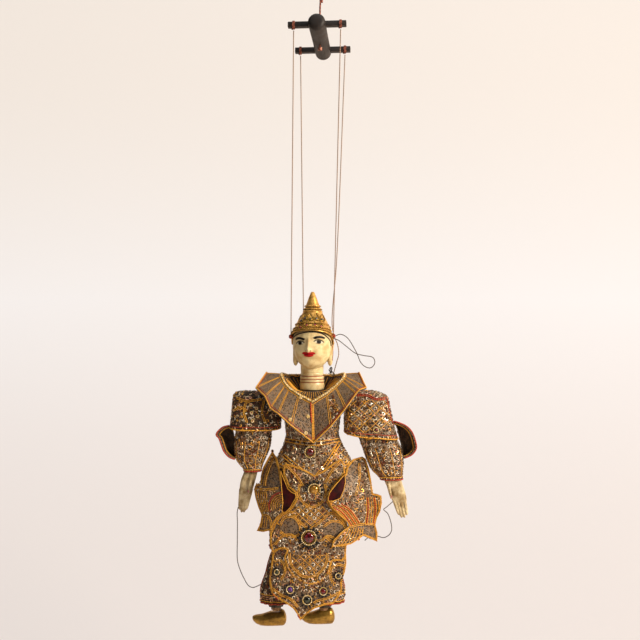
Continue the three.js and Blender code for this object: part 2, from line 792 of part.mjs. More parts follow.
function makeArm(name, { side, upperLean, foreLean, handLean }) {
  const shoulder = V(TRUNK_X + (side * SHOULDER_SPREAD) / 2, 0, shoulderZ);
  const elbow = along(shoulder, UPPER_ARM_LENGTH, upperLean);
  const wrist = along(elbow, FOREARM_LENGTH, foreLean);
  const above = (p, dz) => p.clone().add(V(0, 0, dz));

  const eye = crossRod(shoulder.x, 0, shoulderZ, 18, 12, 14);
  const upper = join(
    eye,
    rodBetween(shoulder, above(elbow, FORK_RADIUS + 2), 8, 7, 10),
    forkBlock(elbow),
  );
  const rodBore = crossRod(shoulder.x, 0, shoulderZ, 60, ROD + GAP);
  addPiece(`upper_arm_${name}`, cut(upper, rodBore, ...forkCuts(elbow)), BARE_WOOD);
  addPiece(`elbow_pin_${name}`, crossRod(elbow.x, 0, elbow.z, FORK_WIDTH, PIN, 10), BRASS);

  const fore = join(...tongueOn(elbow, above(wrist, FORK_RADIUS), 5.5, 7), forkBlock(wrist, FORK_WIDTH, 7.4));
  const elbowBore = crossRod(elbow.x, 0, elbow.z, 60, PIN + GAP);
  addPiece(`forearm_${name}`, cut(fore, elbowBore, ...forkCuts(wrist, 7.4)), BARE_WOOD);
  addPiece(`wrist_pin_${name}`, crossRod(wrist.x, 0, wrist.z, FORK_WIDTH, PIN, 10), BRASS);

  makeUpperSleeve(name, side, shoulder, elbow);
  makeLowerSleeve(name, side, elbow, wrist);
  makeHand(name, side, wrist, handLean);
}

function makeUpperSleeve(name, side, shoulder, elbow) {
  const hem = elbow.z - shoulder.z + 5;
  const round = 18.4;
  const row = (dz, width, b, out) => ({
    x: shoulder.x + side * out * UPPER_ARM_LENGTH,
    y: 0,
    z: shoulder.z + dz,
    a: (width * UPPER_ARM_LENGTH) / 2,
    b,
    n: 3.4,
  });
  const rows = [
    row(round, 1.06, 3, 0.315),
    row(round * 0.92, 1.13, round * 0.4, 0.315),
    row(round * 0.6, 1.17, round * 0.8, 0.315),
    row(0, 1.185, round + 0.6, 0.315),
    row(hem * 0.35, 1.14, 24.5, 0.33),
    row(hem * 0.7, 1.06, 28, 0.386),
    row(hem, 0.92, 28, 0.444),
  ];
  const inside = rows.map((r) => ({ ...r, z: r.z - 1.2, a: r.a - CLOTH, b: Math.max(r.b - CLOTH, 1) }));
  inside.push({ ...inside.at(-1), z: inside.at(-1).z - 6 });
  const hole = crossRod(shoulder.x, 0, shoulder.z, 60, ROD + 2 * GAP);
  addPiece(`upper_sleeve_${name}`, cut(loft(rows, 20), loft(inside, 20), hole), SEQUIN_CLOTH);
}

function makeLowerSleeve(name, side, elbow, wrist) {
  const at = (share, a, b, out = 0) => ({
    x: THREE.MathUtils.lerp(elbow.x, wrist.x, share) + side * out,
    y: 0,
    z: THREE.MathUtils.lerp(elbow.z, wrist.z, share),
    a,
    b,
    n: 2.2,
  });
  const rows = smoothRows(
    [at(0.03, 15, 13.6), at(0.2, 23, 20, -1), at(0.42, 27, 24), at(0.66, 26, 23), at(0.84, 19, 18), at(0.98, 14.8, 12.8)],
    7,
  );
  const tube = clothTube(rows, CLOTH, 18);
  const lip = V(elbow.x + side * 24, 0, elbow.z - 3);
  const seam = V(wrist.x + side * 9, 0, wrist.z + 18);
  const flareRow = (share, a, b) => {
    const p = seam.clone().lerp(lip, share);
    return { x: p.x, y: 0, z: p.z, a, b, n: 2 };
  };
  const flare = (inset) =>
    loft(
      [flareRow(0, 6, 6), flareRow(0.35, 13, 14), flareRow(0.7, 19, 20), flareRow(1, 23, 23)].map((r, i) => ({
        ...r,
        a: r.a - inset,
        b: r.b - inset,
        z: r.z + (inset > 0 && i === 3 ? 1 : 0),
      })),
      14,
    );
  const core = loft(
    rows.map((r) => ({ ...r, a: r.a - CLOTH / 2, b: r.b - CLOTH / 2 })),
    18,
  );
  const armSide = box(elbow.x - side * (60 - FORK_WIDTH / 2 - 3), 0, elbow.z, 120, 120, 200);
  const cup = cut(flare(0), flare(CLOTH), core, armSide);
  const outside = solidOf(cup)
    .decompose()
    .sort((p, q) => q.volume() - p.volume())[0];
  addPiece(`lower_sleeve_${name}`, join(tube, geometryOf(outside)), SEQUIN_CLOTH);
}

// Hand: palm and closed fingers tapering to the tip, with a thumb along the inner side

function makeHand(name, side, wrist, lean) {
  const rows = smoothRows(
    [
      { x: 0, z: -9.5, a: 8, b: 5.4 },
      { x: 0, z: -22, a: 10.6, b: 6.2 },
      { x: 0, z: -38, a: 10, b: 6 },
      { x: side * 0.5, z: -54, a: 8, b: 4.8 },
      { x: side * 1.5, z: -68, a: 5.6, b: 3.6 },
      { x: side * 2, z: -HAND_LENGTH, a: 2.6, b: 2 },
    ].map((row) => ({ ...row, y: 0, n: 2.6 })),
    9,
  );
  const thumb = ball(V(-side * 6, -5.4, -38), 3, 3, 15, 10);
  const palm = join(loft(rows, 16), thumb)
    .rotateY(radians(-lean))
    .translate(wrist.x, 0, wrist.z);
  const tongue = crossRod(wrist.x, 0, wrist.z, TONGUE, 6.8, 14);
  const neck = rodBetween(wrist, V(wrist.x, 0, wrist.z - 13), TONGUE / 2 - 0.1, TONGUE / 2 - 0.1, 8);
  const bore = crossRod(wrist.x, 0, wrist.z, 60, PIN + GAP);
  addPiece(`hand_${name}`, cut(join(palm, tongue, neck), bore), PALE_WOOD);
}

// Cords that trail from the hands

function makeHandCords() {
  const left = [
    [-138.9, -0.5, -224], [-140.6, -2, -232], [-140, -5, -248], [-140, -7, -280], [-140, -3, -314],
    [-136, 2, -331], [-129, 6, -348], [-122, 9, -360], [-115, 12, -364], [-108, 15, -362.5], [-99, 18, -359],
  ].map(([x, y, up]) => V(x, y, neckZ + up));
  const right = [
    [124.1, -2, -214], [112, -12, -222], [107, -18, -225], [113.5, -17, -231], [119.5, -15, -247],
    [121, -12, -260], [117, -6, -270], [108, 0, -276], [99, 4, -274.5], [88, 5, -273], [76, 1, -281],
  ].map(([x, y, up]) => V(x, y, neckZ + up));
  addPiece("hand_cord_left", cord(left, THIN_CORD, 26), DARK_COTTON);
  addPiece("hand_cord_right", cord(right, THIN_CORD, 30), DARK_COTTON);
}

// Legs. The shoes point to the viewer's left, as the loosely strung feet hang.

const LEGS = {
  left: { hipX: HIP_LEFT_X, kneeX: -60, ankleX: -75, soleDrop: 3 },
  right: { hipX: HIP_RIGHT_X, kneeX: 7, ankleX: 7, soleDrop: 0 },
};

function makeLeg(name, { hipX, kneeX, ankleX, soleDrop }) {
  const hip = V(hipX, 0, hipZ);
  const knee = V(kneeX, 0, kneeZ);
  const ankle = V(ankleX, 0, ankleZ);
  const eye = crossRod(hipX, 0, hipZ, 15, 10.5, 16);
  const thigh = join(eye, rodBetween(hip, knee.clone().add(V(0, 0, FORK_RADIUS + 2)), 10, 8, 10), forkBlock(knee));
  const hipBore = crossRod(hipX, 0, hipZ, 60, ROD + GAP);
  addPiece(`thigh_${name}`, cut(thigh, hipBore, ...forkCuts(knee)), BARE_WOOD);
  addPiece(`knee_pin_${name}`, crossRod(kneeX, 0, kneeZ, FORK_WIDTH, PIN, 10), BRASS);

  const foot = V(ankleX, 0, ankleZ - 4);
  const shin = join(...tongueOn(knee, foot, 7, 8.5));
  const kneeBore = crossRod(kneeX, 0, kneeZ, 60, PIN + GAP);
  addPiece(`shin_${name}`, cut(shin, kneeBore), BARE_WOOD);

  const row = (dz, x, a, b) => ({ x, y: 0, z: kneeZ + dz, a, b, n: 2.2 });
  const spread = ankleX - kneeX;
  const rows = smoothRows(
    [
      row(-10, kneeX + 0.08 * spread, 19, 17),
      row(-28, kneeX + 0.28 * spread, 23, 20),
      row(-48, kneeX + 0.48 * spread, 25, 22),
      row(-72, kneeX + 0.75 * spread, 29, 24),
      row(-96, kneeX + 0.95 * spread, 26, 23),
    ],
    6,
  );
  const inside = rows.map((r, i) => ({ ...r, z: r.z - (i === 0 ? CLOTH : 0), a: r.a - CLOTH, b: r.b - CLOTH }));
  inside.push({ ...inside.at(-1), z: inside.at(-1).z - 5 });
  const holeEnd = V(kneeX + 0.1 * spread, 0, kneeZ - 24);
  const legHole = rodBetween(V(kneeX, 0, kneeZ - 5), holeEnd, 7.8 + GAP, 7.8 + GAP);
  addPiece(`trouser_leg_${name}`, cut(loft(rows, 18), loft(inside, 18), legHole), DARK_CLOTH);
  makeShoe(name, ankle, soleDrop, foot);
}

function makeShoe(name, ankle, soleDrop, foot) {
  const section = (x, top, bottom, half) =>
    Array.from({ length: 14 }, (_, i) => {
      const t = (i / 14) * 2 * Math.PI;
      const middle = (top + bottom) / 2;
      return V(ankle.x + x, half * Math.sin(t), ankle.z + middle + ((top - bottom) / 2) * Math.cos(t));
    });
  const rows = smoothRows(
    [
      { x: -40, top: -13, bottom: -16, half: 2 },
      { x: -36, top: -10, bottom: -23, half: 7 },
      { x: -22, top: -8, bottom: -29, half: 12 },
      { x: -6, top: -2, bottom: -30, half: 13 },
      { x: 8, top: 1, bottom: -29, half: 12 },
      { x: 15, top: -3, bottom: -27, half: 9 },
      { x: 18, top: -12, bottom: -20, half: 4 },
    ],
    11,
  );
  const last = bodyFromLoops(rows.map((r) => section(r.x, r.top, r.bottom, r.half)));
  const sole = box(ankle.x, 0, ankle.z - ANKLE_HEIGHT - 20, 120, 60, 40);
  const socket = rodBetween(foot, V(foot.x, 0, foot.z + 30), 9.4, 9.4, 14);
  const shoe = cut(last, sole, socket).translate(0, 0, -soleDrop);
  addPiece(`shoe_${name}`, shoe, GILT);
}

makeControl();
makeHead();
makeCrown();
makeNeck();
makeHeadTrim();
makeStrings();
makeTrunk();
makeJacket();
makeCollar();
addMedallion("waist_medallion", V(-16, -35.6, waistZ - 19.5), 10, GLASS_STONE);
makeApron();
makeSideFlaps();
for (const [name, arm] of Object.entries(ARMS)) makeArm(name, arm);
makeHandCords();
for (const [name, leg] of Object.entries(LEGS)) makeLeg(name, leg);

export default part;
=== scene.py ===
"""Dressed model of a carved string puppet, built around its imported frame.

The puppet hangs by four strings from a two-bar control. Its padded court dress is sewn with
gold cord, sequins and glass stones. Everything is in metres, Z is up and the figure faces -Y.
Left and right are the viewer's, facing the figure.
"""

import logging
import math
import random
from collections.abc import Callable, Sequence
from dataclasses import dataclass, replace
from enum import Enum
from itertools import product

import bmesh
import bpy
import numpy as np
from mathutils import Matrix, Vector, kdtree
from mathutils.bvhtree import BVHTree


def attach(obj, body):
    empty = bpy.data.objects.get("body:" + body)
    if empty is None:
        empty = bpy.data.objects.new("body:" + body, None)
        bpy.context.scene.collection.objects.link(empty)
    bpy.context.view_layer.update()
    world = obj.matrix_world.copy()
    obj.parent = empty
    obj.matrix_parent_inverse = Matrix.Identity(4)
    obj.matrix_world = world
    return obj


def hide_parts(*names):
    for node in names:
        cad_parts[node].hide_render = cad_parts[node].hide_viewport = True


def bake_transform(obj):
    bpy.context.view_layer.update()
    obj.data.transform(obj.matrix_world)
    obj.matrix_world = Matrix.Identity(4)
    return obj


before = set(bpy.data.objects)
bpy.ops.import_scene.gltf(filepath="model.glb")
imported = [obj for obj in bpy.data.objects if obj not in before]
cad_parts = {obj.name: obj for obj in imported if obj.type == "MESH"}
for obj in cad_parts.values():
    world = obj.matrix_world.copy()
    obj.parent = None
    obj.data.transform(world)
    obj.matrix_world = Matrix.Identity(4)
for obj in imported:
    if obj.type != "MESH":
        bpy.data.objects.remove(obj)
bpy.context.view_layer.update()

log = logging.getLogger("puppet")

# Levels and centres, as in the part's source
MM = 0.001
HANDLE_Z = -94 * MM
NECK_Z = -668 * MM
NECK = NECK_Z / MM
EYES_Z = NECK_Z + 56 * MM
HIP_Z = NECK_Z - 180 * MM
KNEE_Z = HIP_Z - 108 * MM
HEAD_CENTRE = Vector((-12.5, -2, EYES_Z / MM)) * MM
HEAD_TURN = math.radians(-11)
NECK_CENTRE = Vector((-13.5 * MM, 4 * MM, NECK_Z))
NECK_GROOVES = (-1.1, -6.7, -11.6)

# The front drawing is a sheet of 640 by 640 units, in the perspective of the camera
EYE = Vector((0, -1.7, -0.574))
SHEET_MIDDLE = 320
SHEET_DISTANCE = 1000

# Trim sizes, and the step of a line that is laid on cloth, in drawing units
CORD_RADIUS = 0.8 * MM
THIN_CORD = 0.65 * MM
SEQUIN_RADIUS = 1.9 * MM
SEQUIN_SPACING = 4.3 * MM
LAID_STEP = 1.6

# Short names for types
Tree = bpy.types.NodeTree
Node = bpy.types.Node
Socket = bpy.types.NodeSocket
Object = bpy.types.Object
Mesh = bmesh.types.BMesh
Pair = tuple[float, float]
Triple = tuple[float, float, float]
Line = Sequence[Pair]
Spot = tuple[Vector, Vector]


def seen(across: float, down: float, y: float = 0.0) -> Vector:
    """Gives the point at depth y that lies under a place of the front drawing.

    Args:
        across: units from the drawing's left side.
        down: units from its top.
        y: depth of the point, in metres.

    Returns:
        The point in the row frame.
    """
    reach = (y - EYE.y) / SHEET_DISTANCE
    return Vector(((across - SHEET_MIDDLE) * reach, y, EYE.z - (down - SHEET_MIDDLE) * reach))


def linear(code: str) -> tuple[float, float, float, float]:
    """Turns an sRGB hex colour to linear RGBA.

    Args:
        code: the colour, with its hash sign.

    Returns:
        Red, green, blue and alpha, from 0 to 1.
    """

    def channel(text: str) -> float:
        """Turns two hex digits to a linear share."""
        share = int(text, 16) / 255
        return share / 12.92 if share <= 0.04045 else ((share + 0.055) / 1.055) ** 2.4

    return (channel(code[1:3]), channel(code[3:5]), channel(code[5:7]), 1.0)


def add_node(
    tree: Tree,
    kind: str,
    inputs: dict[int | str, object] | None = None,
    stops: Sequence[tuple[float, str]] = (),
    **settings: object,
) -> Node:
    """Adds a node with its settings and links.

    Args:
        tree: the material's tree.
        kind: the node's type name.
        inputs: values, or sockets to link, by input name or number.
        stops: places and hex colours of a colour ramp.
        settings: properties of the node.

    Returns:
        The node.
    """
    made = tree.nodes.new(kind)
    for key, value in settings.items():
        setattr(made, key, value)
    for key, value in (inputs or {}).items():
        if isinstance(value, Socket):
            tree.links.new(value, made.inputs[key])
        else:
            made.inputs[key].default_value = value
    if stops:
        ramp = made.color_ramp.elements
        while len(ramp) < len(stops):
            ramp.new(1.0)
        for element, (place, code) in zip(ramp, stops):
            element.position = place
            element.color = linear(code)
    return made


# Finishes


def coords(tree: Tree, kind: str = "Object") -> Socket:
    """Gives the shaded point in the given measure."""
    return add_node(tree, "ShaderNodeTexCoord").outputs[kind]


def noise(tree: Tree, place: Socket, scale: float, detail: float, rough: float = 0.5) -> Socket:
    """Gives clouds of a scale, in clouds per metre."""
    inputs = {"Vector": place, "Scale": scale, "Detail": detail, "Roughness": rough}
    return add_node(tree, "ShaderNodeTexNoise", inputs).outputs[0]


def tinted(tree: Tree, value: Socket, *stops: tuple[float, str]) -> Socket:
    """Turns a value to the colours of a ramp."""
    return add_node(tree, "ShaderNodeValToRGB", {0: value}, stops=stops).outputs[0]


def ranged(
    tree: Tree, value: Socket, span: Pair = (0.0, 1.0), result: Pair = (0.0, 1.0), **how: object
) -> Socket:
    """Takes a value from one range to another."""
    inputs = {0: value, 1: span[0], 2: span[1], 3: result[0], 4: result[1]}
    return add_node(tree, "ShaderNodeMapRange", inputs, **how).outputs[0]


def mixed(tree: Tree, share: Socket, below: object, above: object) -> Socket:
    """Lays one colour over another by a share."""
    return add_node(tree, "ShaderNodeMix", {0: share, 6: below, 7: above}, data_type="RGBA").outputs[2]


def shade_recesses(tree: Tree, colour: Socket, recess_shade: str, reach_mm: float, span: Pair) -> Socket:
    """Darkens a colour where the surface closes in, as painted shade."""
    reach = {"Distance": reach_mm * MM}
    open_share = add_node(tree, "ShaderNodeAmbientOcclusion", reach, samples=6).outputs["AO"]
    # Painted shade: the colour turns to the shade colour where ambient occlusion closes in.
    return mixed(tree, ranged(tree, open_share, span), linear(recess_shade), colour)


def reckoned(tree: Tree, operation: str, *values: object) -> Socket:
    """Reckons with single values."""
    return add_node(tree, "ShaderNodeMath", dict(enumerate(values)), operation=operation).outputs[0]


def blob(
    tree: Tree, place: Socket, centre: Sequence[float], radii: Sequence[float], soft: float = 0.06
) -> Socket:
    """Gives a mask that is 1 inside an ellipsoid and 0 outside, with a soft edge.

    Args:
        tree: the material's tree.
        place: the shaded point.
        centre: the ellipsoid's centre.
        radii: its half-sizes.
        soft: the edge's half-width, as a share of them.

    Returns:
        The mask.
    """

    def step(operation: str, *values: object) -> Node:
        """Reckons with vectors."""
        return add_node(tree, "ShaderNodeVectorMath", dict(enumerate(values)), operation=operation)

    off = step("SUBTRACT", place, tuple(centre)).outputs[0]
    length = step("LENGTH", step("DIVIDE", off, tuple(radii)).outputs[0]).outputs[1]
    return ranged(tree, length, (1 + soft, 1 - soft), interpolation_type="SMOOTHSTEP")


@dataclass(frozen=True)
class Finish:
    """What every finish shares: a name, and the plain sockets of its shader."""

    name: str
    roughness: float = 0.5
    metallic: float = 0.0
    gloss: float = 0.5

    def material(self) -> bpy.types.Material:
        """Gives the material, made once.

        Returns:
            The material.
        """
        known = bpy.data.materials.get(self.name)
        if known:
            return known
        made = bpy.data.materials.new(self.name)
        made.use_nodes = True
        shader = made.node_tree.nodes["Principled BSDF"]
        plain = {"Roughness": self.roughness, "Metallic": self.metallic, "Specular IOR Level": self.gloss}
        for socket, value in plain.items():
            shader.inputs[socket].default_value = value
        self.paint(made.node_tree, shader)
        return made

    def paint(self, tree: Tree, shader: Node) -> None:
        """Adds the finish's own nodes."""

    def around(self, first: float, second: float) -> Pair:
        """Gives a range of roughness about the finish's own."""
        return self.roughness + first, self.roughness + second

    def wire(
        self,
        tree: Tree,
        shader: Node,
        colour: Socket,
        rough: Socket | None = None,
        height: Socket | None = None,
        depth_mm: float = 0.2,
    ) -> None:
        """Links colour, roughness and a bump to the shader.

        Args:
            tree: the material's tree.
            shader: its shader.
            colour: its base colour.
            rough: its roughness, or None to keep the plain one.
            height: the relief, or None.
            depth_mm: the relief's depth.
        """
        links = {"Base Color": colour, "Roughness": rough}
        if height:
            relief = {"Height": height, "Strength": 1.0, "Distance": depth_mm * MM}
            links["Normal"] = add_node(tree, "ShaderNodeBump", relief).outputs[0]
        for socket, source in links.items():
            if source:
                tree.links.new(source, shader.inputs[socket])


@dataclass(frozen=True)
class GrainedWood(Finish):
    """Wood with its grain along one axis, stained or bare."""

    dark: str = "#14100e"
    light: str = "#3a302a"
    grain_mm: float = 1.6
    grain_stretch: float = 14
    axis: int = 1

    def paint(self, tree: Tree, shader: Node) -> None:
        """Draws long streaks of grain, and pores as a bump.

        Args:
            tree: the material's tree.
            shader: its shader.
        """
        place = coords(tree)
        scale = [1 / (self.grain_mm * MM)] * 3
        scale[self.axis] /= self.grain_stretch
        stretched = add_node(tree, "ShaderNodeMapping", {"Vector": place, "Scale": scale}).outputs[0]
        grain = noise(tree, stretched, scale=1.0, detail=5.0, rough=0.65)
        wear = noise(tree, place, scale=70.0, detail=3.0)
        both = reckoned(tree, "MULTIPLY_ADD", grain, wear, 0.12)
        colour = tinted(tree, both, (0.22, self.dark), (0.55, self.light))
        rough = ranged(tree, wear, result=self.around(-0.12, 0.15))
        self.wire(tree, shader, colour, rough, grain, depth_mm=0.25)


@dataclass(frozen=True)
class GiltWood(Finish):
    """Gold leaf over a red-brown ground, worn dull on the rises, with painted shade in the hollows."""

    leaf: str = "#d9a33f"
    rubbed: str = "#9a6322"
    # The colour of the painted shade in the hollows.
    gilt_shade: str = "#3a200e"
    blotch_mm: float = 6.0

    def paint(self, tree: Tree, shader: Node) -> None:
        """Draws blotches of thin leaf, and painted shade where the surface closes in.

        Args:
            tree: the material's tree.
            shader: its shader.
        """
        place = coords(tree)
        blotch = noise(tree, place, scale=1 / (self.blotch_mm * MM), detail=6.0, rough=0.7)
        leaf = tinted(tree, blotch, (0.32, self.rubbed), (0.58, self.leaf))
        # Painted shade: dark brown where the surface closes in.
        colour = shade_recesses(tree, leaf, self.gilt_shade, reach_mm=4, span=(0.25, 0.8))
        rough = ranged(tree, blotch, result=self.around(0.2, -0.12))
        grit = noise(tree, place, scale=900.0, detail=3.0)
        self.wire(tree, shader, colour, rough, grit, depth_mm=0.12)


@dataclass(frozen=True)
class PaintedWood(Finish):
    """Cream oil paint over chalk gesso: a low gloss, brush marks, and painted brown shade in the hollows."""

    paint_colour: str = "#e9d8a6"
    aged: str = "#cfb27c"
    # The colour of the painted shade in the hollows.
    recess_shade: str = "#5d4424"

    def paint(self, tree: Tree, shader: Node) -> None:
        """Draws the aged paint with fine brush marks, and painted shade where the surface closes in.

        Args:
            tree: the material's tree.
            shader: its shader.
        """
        place = coords(tree)
        cloud = noise(tree, place, scale=75.0, detail=5.0, rough=0.6)
        aged = tinted(tree, cloud, (0.38, self.aged), (0.6, self.paint_colour))
        # Painted shade: brown where the surface closes in.
        ground = shade_recesses(tree, aged, self.recess_shade, reach_mm=6, span=(0.3, 0.85))
        marks = noise(tree, place, scale=420.0, detail=3.0)
        self.wire(tree, shader, self.features(tree, ground), None, marks, depth_mm=0.08)

    def features(self, tree: Tree, colour: Socket) -> Socket:
        """Gives the ground colour with what is painted on it; a plain piece has nothing."""
        return colour


@dataclass(frozen=True)
class PaintedFace(PaintedWood):
    """The head's paint, with eyes, brows and lips brushed on in the head's own millimetres, and painted shade
    in the nostrils.
    """

    ink: str = "#15110d"
    white: str = "#ded6bd"
    lip: str = "#b5171f"
    # The colour of the line under each eye, and the painted shade in the nostrils.
    crease_and_nostril_shade: str = "#8a6a45"
    parting: str = "#5d0c10"
    eyes: tuple[Triple, ...] = ((-1, -15.2, -0.8), (1, 16.8, 1.2))
    reach: float = 30

    def features(self, tree: Tree, colour: Socket) -> Socket:
        """Paints the features in turn over the ground colour, each as ovals in x and z, in millimetres.

        Args:
            tree: the material's tree.
            colour: the ground colour.

        Returns:
            The painted colour.
        """
        turned_place = {
            "Vector": coords(tree),
            "Location": HEAD_CENTRE,
            "Rotation": (0, 0, HEAD_TURN),
            "Scale": (MM, MM, MM),
        }
        place = add_node(tree, "ShaderNodeMapping", turned_place, vector_type="TEXTURE").outputs[0]

        def oval(x: float, z: float, half: float, rise: float, soft: float = 0.06) -> Socket:
            """Gives the mask of an oval on the face."""
            return blob(tree, place, (x, -self.reach, z), (half, self.reach, rise), soft)

        def both(one: Socket, other: Socket, operation: str = "MINIMUM") -> Socket:
            """Combines two masks."""
            return reckoned(tree, operation, one, other)

        layers = []
        for side, eye, up in self.eyes:
            upper = oval(eye - side, up - 4.6, 8.6, 7.6)
            lower = oval(eye + 0.8 * side, up + 4.8, 8.6, 7.6)
            white = both(upper, lower)
            iris = both(oval(eye, up + 0.4, 3.5, 3.5, 0.1), white)
            lid = both(oval(eye - side, up - 4.8, 10.2, 9.6), upper, "SUBTRACT")
            lid = both(lid, oval(eye + 0.8 * side, up + 2.2, 9.6, 4.4))
            under = both(oval(eye, up + 5.4, 9.2, 8.6), lower, "SUBTRACT")
            under = both(under, oval(eye, up - 3, 6.4, 2.2))
            brow_top = oval(eye + 0.2 * side, up - 6.0, 16.6, 16.6, 0.04)
            brow = both(brow_top, oval(eye + 1.4 * side, up - 9.2, 15.9, 15.6, 0.04), "SUBTRACT")
            brow = both(brow, oval(eye + 0.4 * side, up + 8.6, 10.4, 5.2))
            upper_lip = oval(4.7 * side, -17.5, 6.6, 2.5, 0.12)
            # Painted shade in the nostril.
            nostril = oval(3.8 * side, -13.4, 1.5, 1.0, 0.3)
            layers += [(self.white, white), (self.ink, iris), (self.ink, lid), (self.crease_and_nostril_shade, under)]
            layers += [(self.ink, brow), (self.lip, upper_lip), (self.crease_and_nostril_shade, nostril)]
        layers += [(self.lip, oval(0, -20.6, 8.4, 3.1, 0.12)), (self.parting, oval(0, -18.9, 10.4, 0.6, 0.5))]
        for code, mask in layers:
            colour = mixed(tree, mask, colour, linear(code))
        return colour


@dataclass(frozen=True)
class RingedNeck(PaintedWood):
    """The neck's paint with thin red-brown lines round its rings."""

    line: str = "#a4502c"
    half_line_mm: float = 0.7

    def features(self, tree: Tree, colour: Socket) -> Socket:
        """Gives the ground colour with a line at each groove."""
        place = coords(tree)
        for groove in NECK_GROOVES:
            mask = blob(tree, place, (0, 0, NECK_Z + groove * MM), (1, 1, self.half_line_mm * MM), 0.35)
            colour = mixed(tree, mask, colour, linear(self.line))
        return colour


@dataclass(frozen=True)
class MeshCloth(Finish):
    """Metal-thread net over padded cloth: dull threads that catch the light round small dark holes."""

    net: str = "#1f1610"
    thread: str = "#8a7762"
    warm: str = "#8a622f"
    cell_mm: float = 2.7

    def paint(self, tree: Tree, shader: Node) -> None:
        """Draws the net's holes on the cloth's own measure, in metres.

        Args:
            tree: the material's tree.
            shader: its shader.
        """
        cloth = coords(tree, "UV")
        net = {"Vector": cloth, "Scale": 1 / (self.cell_mm * MM), "Randomness": 0.6}
        cells = add_node(tree, "ShaderNodeTexVoronoi", net).outputs["Distance"]
        patch = noise(tree, cloth, scale=150.0, detail=5.0, rough=0.75)
        thread = tinted(tree, patch, (0.36, self.net), (0.47, self.thread), (0.66, self.warm))
        closed = ranged(tree, cells, (0.28, 0.5))
        colour = mixed(tree, closed, linear(self.net), thread)
        rough = ranged(tree, patch, result=self.around(-0.15, 0.2))
        self.wire(tree, shader, colour, rough, closed, depth_mm=0.4)


@dataclass(frozen=True)
class PlainCloth(Finish):
    """Velvet, satin or cotton in one colour: crossed threads, faded in clouds, with a sheen."""

    base: str = "#3a0d10"
    faded: str = "#5a2018"
    thread_mm: float = 0.7
    sheen: float = 0.3

    def paint(self, tree: Tree, shader: Node) -> None:
        """Draws the threads on the cloth's own measure and sets the sheen.

        Args:
            tree: the material's tree.
            shader: its shader.
        """
        cloth = coords(tree, "UV")
        cloud = noise(tree, cloth, scale=90.0, detail=4.0)
        colour = tinted(tree, cloud, (0.35, self.base), (0.7, self.faded))
        threads = {"Vector": cloth, "Scale": 1 / (self.thread_mm * MM)}
        weave = add_node(tree, "ShaderNodeTexChecker", threads).outputs["Fac"]
        shader.inputs["Sheen Weight"].default_value = self.sheen
        self.wire(tree, shader, colour, None, weave, depth_mm=0.15)


@dataclass(frozen=True)
class TwistedThread(Finish):
    """Cord of twisted strands, with painted light on each strand and painted shade between, drawn round the
    cord's own measure.
    """

    strand: str = "#d9892b"
    # The painted shade between the strands.
    between: str = "#5e2c0c"
    lit_share: float = 0.42
    around_mm: float = 5.3
    pitch_mm: float = 3.2

    def paint(self, tree: Tree, shader: Node) -> None:
        """Draws slanted bands that close round the cord: painted light on the strands, painted shade between
        them.

        Args:
            tree: the material's tree.
            shader: its shader.
        """
        turns = (1 / (self.around_mm * MM), 1 / (self.pitch_mm * MM), 1)
        measured = {"Vector": coords(tree, "UV"), "Scale": turns}
        measure = add_node(tree, "ShaderNodeMapping", measured).outputs[0]
        wave = {"Vector": measure, "Scale": math.tau / 10, "Distortion": 0.0}
        bands = add_node(tree, "ShaderNodeTexWave", wave, bands_direction="DIAGONAL").outputs["Fac"]
        cloud = noise(tree, coords(tree), scale=160.0, detail=2.0)
        lit = reckoned(tree, "MULTIPLY", bands, cloud)
        # Painted light and shade: the strand colour where a band is lit, the darker colour in the grooves
        # between.
        colour = tinted(tree, lit, (0.05, self.between), (self.lit_share, self.strand))
        self.wire(tree, shader, colour, None, bands, depth_mm=0.3)


@dataclass(frozen=True)
class Sequins(Finish):
    """Pressed foil sequins in mixed colours, each piece's own tone read from its faces; the near-white tones
    are painted glints.
    """

    # The near-white tones are painted glints; the others are the foils' mixed colours.
    tones_and_glints: tuple[str, ...] = ("#e8cda4", "#e2a884", "#7a5226", "#f6b44a", "#fff6e2", "#7a3516", "#fff0d2")

    def paint(self, tree: Tree, shader: Node) -> None:
        """Picks a colour by the tone of each sequin."""
        tone = add_node(tree, "ShaderNodeAttribute", attribute_name="tone").outputs["Fac"]
        stops = [(i / len(self.tones_and_glints), code) for i, code in enumerate(self.tones_and_glints)]
        ramp = add_node(tree, "ShaderNodeValToRGB", {0: tone}, stops=stops)
        ramp.color_ramp.interpolation = "CONSTANT"
        self.wire(tree, shader, ramp.outputs[0])


@dataclass(frozen=True)
class Glass(Finish):
    """Glass beads and foil-backed stones: a hard gloss over a deep colour, with lighter cells painted as the
    glow of light through the glass.
    """

    deep: str = "#3d060c"
    painted_glow: str = "#9c1626"

    def paint(self, tree: Tree, shader: Node) -> None:
        """Draws the foil's glow as painted light in large cells, and sets the coat."""
        cells = {"Vector": coords(tree), "Scale": 260.0}
        glow_cells = add_node(tree, "ShaderNodeTexVoronoi", cells).outputs["Distance"]
        shader.inputs["Coat Weight"].default_value = 1.0
        shader.inputs["Coat Roughness"].default_value = 0.04
        # Painted glow: the lighter colour near each cell's middle stands for light coming back through the
        # glass.
        self.wire(tree, shader, tinted(tree, glow_cells, (0.1, self.painted_glow), (0.6, self.deep)))


BLACK_WOOD = GrainedWood("black-stained wood", 0.55, dark="#080504", light="#22160e")
BARE_WOOD = GrainedWood("bare teak", 0.6, dark="#6b4526", light="#b48a5c", axis=2)
HAND_PAINT = PaintedWood("browned oil paint on gesso", 0.36, paint_colour="#dccba0", aged="#9a7f50")
